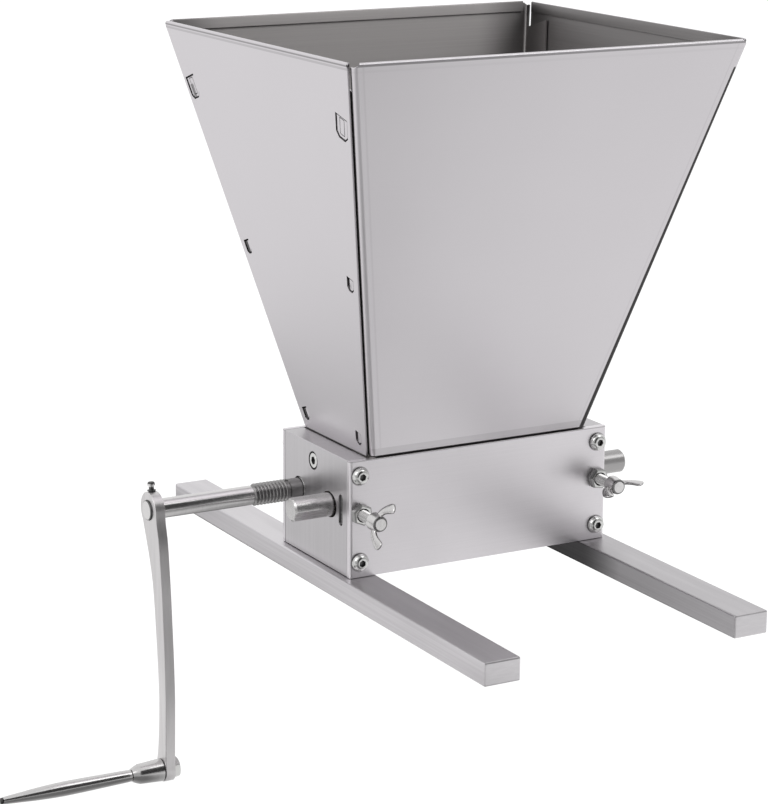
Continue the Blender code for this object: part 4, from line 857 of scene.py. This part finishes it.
def sheet_finish(name, shades, roughness, grain_scale, depth, painted_shade_lines=(), painted_corner_shade=0.0, painted_fold_shade=0.0):
    """Stainless sheet as it comes from the mill: fine lines along the sheet and faint clouds.

    Each painted shade line is level, by its height, half its width and its darkness: painted shade
    under the rolled rim, along the shallow crease where a hem's raw edge presses from within, and
    along the sheared bottom edge where the sheet meets the block. A sheet may take painted shade
    into its inner corners, and the front one along its side folds, in a gap and in the tab
    openings."""
    dark, light = shades
    finish = Finish(name, light, roughness)
    grain = finish.noise(finish.place, grain_scale, 5.0)
    cloud = finish.noise(finish.place, (9.0, 9.0, 9.0), 2.0)
    x, y, height = finish.axes(finish.place)
    painted_shade_total = 0.0
    for level, half_width, darkness in painted_shade_lines:
        line = finish.smooth(abs(height - level), half_width + 0.0003, half_width - 0.0001)
        painted_shade_total = (line * darkness).most(painted_shade_total)
    if painted_corner_shade:
        into_corner = (half_length(height) - abs(x)).most(half_depth(height) - abs(y))
        painted_shade_total = (finish.smooth(into_corner, 0.036, 0.006) * painted_corner_shade).most(painted_shade_total)
    if painted_fold_shade:
        # Painted shade along the lap's crease at each side of the front, and painted shadow in the
        # gap behind its right edge
        from_right, from_front = half_length(height) - x, half_depth(height) + y
        gap = finish.smooth(from_right + (height - 0.20) * 0.006, 0.0049, 0.0045)
        gap = gap * finish.smooth(height, 0.2725, 0.2715)
        right_crease_shade = finish.smooth(abs(from_right - 0.0073), 0.0006, 0.0002)
        from_left_crease = from_right - (height - THROAT_Z) * (2 * LEAN_X) - 0.1258
        left_crease_shade = finish.smooth(abs(from_left_crease), 0.0008, 0.0002)
        folds = (right_crease_shade.most(left_crease_shade) * painted_fold_shade).most(gap * 0.97)
        painted_shade_total = (folds * finish.smooth(from_front, 0.0030, 0.0018)).most(painted_shade_total)
        # Painted shade in the openings beside the rear tabs
        off = (-CORNER.x - abs(x), -CORNER.y - abs(y), height - CORNER.z)
        down, across = (
            off[0] * way.x + off[1] * way.y + off[2] * way.z for way in (DOWN, ACROSS)
        )
        for down_middle, half_down, across_middle, half_across, darkness in REAR_OPENING_SHADES:
            opening_shade = (
                finish.smooth(abs(down - down_middle), half_down + 0.0003, half_down - 0.0001)
                * finish.smooth(abs(across - across_middle), half_across + 0.0003, half_across)
                * finish.smooth(y, -0.01, 0.01)
            )
            painted_shade_total = (opening_shade * darkness).most(painted_shade_total)
    # The painted shade darkens the sheet towards near black
    plain = finish.mixed(grain * 0.6 + cloud * 0.4, dark, light)
    finish.feed(
        Base_Color=finish.mixed(painted_shade_total, plain, (0.04, 0.038, 0.038)),
        Roughness=roughness + (grain - 0.5) * 0.06 + (cloud - 0.5) * 0.10,
        Normal=finish.bump(grain * depth, 1.0),
    )
    return finish.material


# The inside tones are the outside's steel in painted shade, darker still on the side sheets
OUTSIDE_SHADES = (0.665, 0.642, 0.665), (0.695, 0.672, 0.695)
INSIDE_PAINTED_SHADES = (0.31, 0.296, 0.294), (0.42, 0.402, 0.400)
SIDE_PAINTED_SHADES = (0.20, 0.192, 0.192), (0.28, 0.269, 0.269)
ALONG_X, ALONG_Y = (8.0, 200.0, 1600.0), (200.0, 8.0, 1600.0)
RIM_PAINTED_SHADE = (0.2848, 0.0003, 0.55)
REAR_OPENING_SHADES = [
    (0.0398, 0.0036, 0.0066, 0.0017, 0.60),
    (0.1262, 0.0037, 0.0060, 0.0017, 0.93),
    (0.2196, 0.0035, 0.0059, 0.0016, 0.93),
]
outside_x = sheet_finish(
    "sheet_outside_x",
    OUTSIDE_SHADES,
    0.41,
    ALONG_X,
    0.000006,
    [RIM_PAINTED_SHADE, (0.2820, 0.0005, 0.04), (0.0780, 0.0018, 0.14), (THROAT_Z, 0.0009, 0.95)],
    painted_fold_shade=0.07,
)
outside_y = sheet_finish(
    "sheet_outside_y",
    OUTSIDE_SHADES,
    0.41,
    ALONG_Y,
    0.000006,
    [RIM_PAINTED_SHADE, (0.2832, 0.0005, 0.22), (THROAT_Z, 0.0004, 0.80)],
)
inside_x = sheet_finish("sheet_inside_x", INSIDE_PAINTED_SHADES, 0.40, ALONG_X, 0.00002, painted_corner_shade=0.60)
inside_y = sheet_finish("sheet_inside_y", SIDE_PAINTED_SHADES, 0.40, ALONG_Y, 0.00002, painted_corner_shade=0.44)
# Painted shade for the slots' grooves, pockets and slits, and for the laps seen in the gaps
painted_slot_shade = brushed(
    "painted_slot_shade_steel", (0.10, 0.095, 0.095), (0.03, 0.03, 0.03), 0.5, (900.0, 900.0, 900.0), 0.1
)


def slot_prism(slot, shrink, top, bottom, side, face):
    """A prism with a slot's outline, between two depths below the side sheet's outer face.

    A slot is its distance down from the rim, its length, its distance in from the corner, its
    width, and the chamfer of its two lower corners."""
    down, length, near, width, chamfer = slot
    chamfer -= shrink / 2
    upper, lower = down + shrink, down + length - shrink
    near, far = near + shrink, near + width - shrink
    outline = [
        (near, upper),
        (near, lower - chamfer),
        (near + chamfer, lower),
        (far - chamfer, lower),
        (far, lower - chamfer),
        (far, upper),
    ]
    mesh = bpy.data.meshes.new("slot_prism")
    flip = Vector((-side, -face, 1))
    count = len(outline)
    mesh.from_pydata(
        [
            (CORNER + ACROSS * x + DOWN * y - OUTWARD * depth) * flip
            for depth in (top, bottom)
            for x, y in outline
        ],
        [],
        [list(range(count)), list(range(count, 2 * count))]
        + [[i, (i + 1) % count, (i + 1) % count + count, i + count] for i in range(count)],
    )
    prism = bpy.data.objects.new("slot_prism", mesh)
    bpy.context.scene.collection.objects.link(prism)
    choose(prism)
    start_edit()
    bpy.ops.mesh.normals_make_consistent(inside=False)
    bpy.ops.object.mode_set(mode="OBJECT")
    return prism


def line_inside(obj, finish):
    """Gives the faces that look into the hopper their finish in painted shade, and paints shade on
    the laps in the gaps.
    """
    obj.data.materials.append(finish)
    inside = len(obj.data.materials) - 1
    lap = obj.data.materials.find(painted_slot_shade.name)
    for polygon in obj.data.polygons:
        centre, normal = polygon.center, polygon.normal
        inward = Vector((-centre.x, -centre.y, 0)).normalized()
        sunk = half_length(centre.z) - abs(centre.x)
        if normal.dot(inward) > 0.3 and normal.z > -0.5:
            polygon.material_index = inside
        elif lap >= 0 and abs(normal.x) > 0.9 and 0.001 < sunk < 0.004:
            if half_depth(centre.z) - abs(centre.y) > 0.004:
                polygon.material_index = lap


LARGE_SLOT = (0.0315, 0.0126, 0.0025, 0.0111, 0.0026)
MIDDLE_SLOT = (0.1222, 0.0079, 0.0042, 0.0064, 0.0018)
LOW_SLOT = (0.2158, 0.0075, 0.0042, 0.0057, 0.0017)
TONGUE = (0.0327, 0.0092, 0.0059, 0.0044, 0.0004)
POCKETS = [(0.1222, 0.0079, 0.0086, 0.0020, 0.0006), (0.2158, 0.0075, 0.0081, 0.0018, 0.0006)]
# How much each cut's outline shrinks, and its top and bottom. A groove and a slit keep their core.
GROOVE, GROOVE_CORE = (-0.0001, 0.00145, 0.0021), (0.0009, 0.0010, 0.0030)
SLIT, SLIT_CORE = (0.0, 0.0003, 0.0011), (0.0004, 0.0, 0.0020)
POCKET = (0.0, 0.0003, 0.0018)

# Each cut leaves its faces in the painted shade
for face, sign in (("front", -1), ("rear", 1)):
    sheet = merged_copy(f"folded_sheet_{face}", f"hopper_{face}", outside_x, BEND_ANGLE)
    for side in (-1, 1):
        for slot in (LARGE_SLOT, MIDDLE_SLOT, LOW_SLOT):
            groove = slot_prism(slot, *GROOVE, side, sign)
            cut(groove, slot_prism(slot, *GROOVE_CORE, side, sign))
            cut(sheet, groove, painted_slot_shade, BEND_ANGLE)
        for pocket in POCKETS if face == "front" else ():
            cut(sheet, slot_prism(pocket, *POCKET, side, sign), painted_slot_shade, BEND_ANGLE)
        slit = slot_prism(TONGUE, *SLIT, side, sign)
        cut(slit, slot_prism(TONGUE, *SLIT_CORE, side, sign))
        cut(sheet, slit, painted_slot_shade, BEND_ANGLE)
    line_inside(sheet, inside_x)
    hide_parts(f"hopper_{face}")
    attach(sheet, "frame")
for side in ("left", "right"):
    sheet = merged_copy(f"side_sheet_{side}", f"hopper_{side}", outside_y, BEND_ANGLE)
    line_inside(sheet, inside_y)
    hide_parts(f"hopper_{side}")
    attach(sheet, "frame")


# Hopper screws
# A socket screw in each end face holds the hopper's tail, with a hex nut inside the throat.

for side, sign, facing in (("left", -1, "-X"), ("right", 1, "X")):
    low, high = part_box(f"hopper_screw_{side}")
    outer = (low.x if sign < 0 else high.x, (low.y + high.y) / 2, (low.z + high.z) / 2)
    head = turn(
        f"dressed_hopper_screw_{side}",
        [
            (0.0025, -0.0161),
            (0.0025, -0.0036),
            (0.0040, -0.0036),
            (0.00420, -0.0033),
            (0.00420, -0.0005),
            (0.00395, -0.0001),
            (0.0037, 0.0000),
        ],
        zinc,
    )
    cut(head, hex_cutter(0.0040, -0.0018, 0.001, 17.0), painted_hollow_shade)
    stand(head, outer, facing)
    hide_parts(f"hopper_screw_{side}")
    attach(head, "frame")
    dress(f"hopper_nut_{side}", zinc)


# Crank rod
# One turned bar: a plain collar at the mill, a coarse thread, and a thinner polished stretch out
# to the arm. Its spigot is fixed in the drive roller.

turned_finish = Finish("turned_rod", (0.60, 0.59, 0.59), 0.22)
tool_marks = turned_finish.noise(turned_finish.place, (2600.0, 60.0, 60.0), 3.0)
rubbed = turned_finish.noise(turned_finish.place, (40.0, 90.0, 90.0), 2.0)
turned_finish.feed(
    Base_Color=turned_finish.mixed(tool_marks, (0.58, 0.57, 0.57), (0.74, 0.73, 0.73)),
    Roughness=0.18 + (tool_marks - 0.5) * 0.10 + (rubbed - 0.5) * 0.12,
    Normal=turned_finish.bump(tool_marks, 0.00001),
)
ROD_CORE, ROD_CREST = 0.0050, 0.0059
rod = turn(
    "rod",
    [
        (0.0040, 0.0660),
        (0.0040, 0.0780),
        (0.0055, 0.0780),
        (0.0057, 0.0782),
        (0.0057, 0.0850),
        (ROD_CORE, 0.0853),
        (ROD_CORE, 0.1067),
        (0.00515, 0.1070),
        (0.00515, 0.1650),
        (0.00515, 0.1660),
        (0.00480, 0.1662),
    ],
    turned_finish.material,
)
# A painted shade on the rod's end wall by the arm's eye
shade_faces(rod, painted_hollow_shade, lambda c, n: 0.1650 < c.z < 0.1662 and abs(n.z) < 0.9)
# The thread is darker, and the plain collar takes the same finish as painted shade
thread_and_painted_collar_shade = brushed(
    "thread_and_painted_collar_shade", (0.36, 0.353, 0.353), (0.24, 0.235, 0.235), 0.30, (90.0, 500.0, 500.0), 0.12
)
shade_faces(rod, thread_and_painted_collar_shade, lambda c, n: 0.0775 < c.z < 0.1066)
rod_thread = thread(
    "rod_thread", ROD_CORE, ROD_CREST, 0.0020, 0.0850, 0.1070, thread_and_painted_collar_shade, 40
)
crank_rod = joined(rod, rod_thread)
crank_rod.name = crank_rod.data.name = "dressed_crank_rod"
stand(crank_rod, (0, DRIVE_Y, AXIS_Z), "-X")
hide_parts("crank_rod")
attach(crank_rod, "crank")


# Crank arm
# A flat bowed strap of polished steel, cut to shape, with an eye at the rod and a smaller one at
# the handle. A small oiled screw, whose head has a bright band, locks it on the rod.

polished = brushed(
    "polished_strap",
    (0.68, 0.665, 0.67),
    (0.61, 0.597, 0.60),
    0.36,
    (420.0, 420.0, 30.0),
    0.10,
    0.00001,
)
arm = merged_copy("dressed_crank_arm", "crank_arm", polished)
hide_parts("crank_arm")
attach(arm, "crank")

oiled = Finish("oiled_set_screw", (0.20, 0.20, 0.20), 0.28)
worn = oiled.noise(oiled.place, (500.0, 500.0, 500.0), 2.0)
from_ring = abs(oiled.axes(oiled.place)[2] - (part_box("crank_set_screw")[1].z - 0.0019))
oiled.feed(
    Base_Color=oiled.mixed(
        oiled.smooth(from_ring, 0.0010, 0.0006),
        oiled.mixed(worn, (0.06, 0.06, 0.06), (0.15, 0.15, 0.15)),
        (0.72, 0.71, 0.71),
    ),
    Roughness=0.28 + (worn - 0.5) * 0.14,
    Normal=oiled.bump(worn, 0.00003),
)
dress("crank_set_screw", oiled.material)


# Handle
# A tapered collar and a thin nut on the arm's end, and a slim drawn-out grip that turns on a long
# bolt with a small dark head.

HANDLE_PLACE = (-0.1652, 0.0067947, -0.0917036)
GRIP_START, GRIP_LENGTH, GRIP_RADIUS = 0.0176, 0.0705, 0.0038

handle_steel = plated("polished_handle", (0.66, 0.65, 0.65), 0.16)
collar = turn(
    "dressed_handle_collar",
    [
        (0.0030, -0.0086),
        (0.0030, 0.0003),
        (0.0058, 0.0003),
        (0.0060, 0.0005),
        (0.0056, 0.0070),
        (0.00525, 0.0130),
        (0.0045, 0.0150),
        (0.0034, 0.0173),
    ],
    handle_steel,
)
stand(collar, HANDLE_PLACE, "-X")
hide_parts("handle_collar")
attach(collar, "crank")

grip = turn(
    "dressed_handle_grip",
    [
        (GRIP_RADIUS * width, GRIP_START + GRIP_LENGTH * share)
        for share, width in (
            (0.0, 0.78),
            (0.004, 0.80),
            (0.03, 0.84),
            (0.08, 0.865),
            (0.13, 0.88),
            (0.20, 0.91),
            (0.26, 0.93),
            (0.33, 0.96),
            (0.40, 0.98),
            (0.47, 0.995),
            (0.53, 1.00),
            (0.60, 0.97),
            (0.66, 0.93),
            (0.73, 0.865),
            (0.79, 0.79),
            (0.85, 0.70),
            (0.91, 0.62),
            (0.98, 0.53),
            (1.0, 0.49),
        )
    ],
    handle_steel,
)
stand(grip, HANDLE_PLACE, "-X")
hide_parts("handle_grip")
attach(grip, "grip")

dress("handle_bolt", plated("blackened_head", (0.10, 0.10, 0.10), 0.34))
dress("handle_nut", zinc)


# Studio
# A pale floor below the hanging crank, two soft lights and a white room. Steel shows what it
# mirrors, so the floor has shades that only show in it, and so does a black flag in front.

FLOOR_Z, FLOOR_SIZE = -0.0995, 8.0

bpy.ops.object.select_all(action="DESELECT")
bpy.ops.mesh.primitive_plane_add(size=FLOOR_SIZE, location=(0, 0, FLOOR_Z))
floor = bpy.context.object
bpy.ops.object.transform_apply(location=True, rotation=True, scale=True)
floor.name = "floor"
floor_finish = Finish("pale_floor", (0.80, 0.80, 0.80), 0.7)
floor_finish.feed(Metallic=0.0, Specular_IOR_Level=0.0)
floor_x, floor_y, _ = floor_finish.axes(floor_finish.place)
smooth, band = floor_finish.smooth, floor_finish.band


def soft_shade(x, y, reach_x, reach_y, inner, outer):
    """How far a point of the floor lies in a soft oval shade, from 0 to 1."""
    across = (floor_x - x) / reach_x
    along = (floor_y - y) / reach_y
    return smooth((across * across + along * along).root(), outer, inner)


# Each shade is named for where it lies on the floor. Two of them follow the camera's line of
# sight, and are measured along it and across it.
under_mill = soft_shade(0.0, 0.03, 0.12, 0.16, 0.40, 1.20)
behind_mill = soft_shade(-0.12, 0.28, 0.11, 0.12, 0.30, 1.25)
by_camera = soft_shade(-0.62, -0.48, 0.42, 0.36, 0.40, 1.20)
left_of_front = (
    smooth(floor_x + floor_y * 0.4, -0.050, -0.090)
    * smooth(floor_x, -0.42, -0.28)
    * band(floor_y, -0.44, -0.36, -0.15, 0.02)
    * smooth(floor_y, -0.10, -0.34, 0.45, 0.72)
)
far_front = smooth(floor_y, -0.66, -0.80) * smooth(floor_x, 0.50, 0.36)
under_handle = band(floor_x, -0.36, -0.30, -0.175, -0.150) * band(
    floor_y, -0.12, -0.06, -0.004, 0.018
)
along_view = floor_y * 0.873 - floor_x * 0.487
across_view = floor_y * 0.487 + floor_x * 0.873
between_bars = smooth(across_view, -0.075, -0.040) * band(along_view, 0.02, 0.08, 0.34, 0.44)
beyond_mill = smooth(across_view, 0.008, 0.035) * band(along_view, 0.02, 0.08, 0.50, 0.62)
deepest = under_mill * 0.60
for shade, share in (
    (behind_mill, 0.72),
    (between_bars, 0.62),
    (beyond_mill, 0.98),
    (by_camera, 0.26),
    (left_of_front, 1.0),
    (far_front, 0.70),
    (under_handle, 0.78),
):
    deepest = deepest.most(shade * share)
camera_ray, glossy_ray, clear_ray = floor_finish.outputs(
    "ShaderNodeLightPath", ("Is Camera Ray", "Is Glossy Ray", "Is Transmission Ray")
)
no_light, mirrored_light, seen_light = (
    floor_finish.make("ShaderNodeEmission", None, {"Color": (1, 1, 1), "Strength": strength})
    for strength in (0.0, 1.0, 1.20)
)
seen = floor_finish.make(
    "ShaderNodeMixShader", None, {0: (camera_ray + clear_ray) * 0.80, 2: seen_light}
)
floor_finish.tree.links.new(floor_finish.shader.outputs[0], seen.socket.node.inputs[1])
mirrored = floor_finish.make(
    "ShaderNodeMixShader", None, {0: 1.0 - deepest, 1: no_light, 2: mirrored_light}
)
surface = floor_finish.make("ShaderNodeMixShader", None, {0: glossy_ray, 1: seen, 2: mirrored})
floor_finish.join(surface, floor_finish.tree.nodes["Material Output"].inputs["Surface"])
floor.data.materials.append(floor_finish.material)

# The camera sees the room white. As a light it is duller in front, up to well above the mill
world = bpy.data.worlds.new("white_room")
bpy.context.scene.world = world
world.use_nodes = True
room = Nodes(world.node_tree)
_, side_y, up_z = room.axes(room.make("ShaderNodeTexCoord", output=0))
in_front = room.smooth(side_y, 0.05, -0.45)
front_light = 0.54 + room.smooth(up_z, 0.57, 0.66) * 0.41
back_light = 0.93 + room.smooth(up_z, 0.30, 0.50) * 0.10 - room.smooth(up_z, 0.45, 0.95) * 0.10
room_light = back_light * (1.0 - in_front) + front_light * in_front
camera_ray, clear_ray = room.outputs(
    "ShaderNodeLightPath", ("Is Camera Ray", "Is Transmission Ray")
)
shown = camera_ray.most(clear_ray)
background = world.node_tree.nodes["Background"]
room.join(shown.most(room_light * (1.0 - shown)), background.inputs["Strength"])
room.join((1, 1, 1), background.inputs["Color"])

bpy.ops.object.select_all(action="DESELECT")
FLAG_PLACE, FLAG_SIZE = (-0.25, -0.50, 0.32), 1.0
bpy.ops.mesh.primitive_plane_add(
    size=FLAG_SIZE, location=FLAG_PLACE, rotation=(math.pi / 2, 0, 0)
)
flag = bpy.context.object
flag.name = "black_flag"
bpy.ops.object.transform_apply(location=True, rotation=True, scale=True)
flag_finish = Finish("black_flag_cloth", (0.01, 0.01, 0.01), 0.9)
flag_finish.feed(Metallic=0.0, Specular_IOR_Level=0.0)
flag_x, _, flag_z = flag_finish.axes(flag_finish.place)
(glossy_ray,) = flag_finish.outputs("ShaderNodeLightPath", ("Is Glossy Ray",))
flag_finish.feed(
    Alpha=flag_finish.smooth(flag_x - flag_z * 0.30, 0.122, 0.094)
    * flag_finish.smooth(flag_x, -0.30, -0.15)
    * flag_finish.smooth(flag_z, -0.07, 0.00)
    * flag_finish.smooth(flag_z - flag_x * 0.3, 0.66, 0.56)
    * glossy_ray
    * 0.92
)
flag.data.materials.append(flag_finish.material)
flag.visible_shadow = False

LAMP_AIM, LAMP_SIZE = Vector((0, 0, 0.1)), 0.8
for name, place, power in (
    ("overhead_soft_light", (0.75, -0.64, 1.35), 2.6),
    ("left_soft_light", (-1.15, -0.35, 0.95), 3.6),
):
    bpy.ops.object.light_add(type="AREA", location=place)
    lamp = bpy.context.object
    lamp.name = name
    lamp.data.shape = "SQUARE"
    lamp.data.size = LAMP_SIZE
    lamp.data.energy = power
    lamp.rotation_mode = "QUATERNION"
    lamp.rotation_quaternion = (LAMP_AIM - Vector(place)).to_track_quat("-Z", "Y")


# Camera
# A long lens, a little above the hopper's middle, from the mill's front left corner. Its place and
# angles were solved from the right angles of the mill in the photo.

CAMERA_PLACE = (-0.7018, -1.1906, 0.4405)
LENS, SENSOR_WIDTH = 119.86, 36.0
azimuth, elevation, roll = math.radians(29.17), math.radians(14.31), math.radians(0.33)

camera_data = bpy.data.cameras.new("camera")
camera = bpy.data.objects.new("camera", camera_data)
bpy.context.scene.collection.objects.link(camera)
bpy.context.scene.camera = camera
camera_data.lens = LENS
camera_data.sensor_width = SENSOR_WIDTH
ahead = Vector(
    (
        math.sin(azimuth) * math.cos(elevation),
        math.cos(azimuth) * math.cos(elevation),
        -math.sin(elevation),
    )
)
right = ahead.cross(Vector((0, 0, 1))).normalized()
over = right.cross(ahead)
rolled_right = right * math.cos(roll) + over * math.sin(roll)
rolled_up = over * math.cos(roll) - right * math.sin(roll)
facing_mill = Matrix((rolled_right, rolled_up, -ahead)).transposed().to_4x4()
camera.matrix_world = Matrix.Translation(CAMERA_PLACE) @ facing_mill

bpy.context.scene.view_settings.view_transform = "Standard"
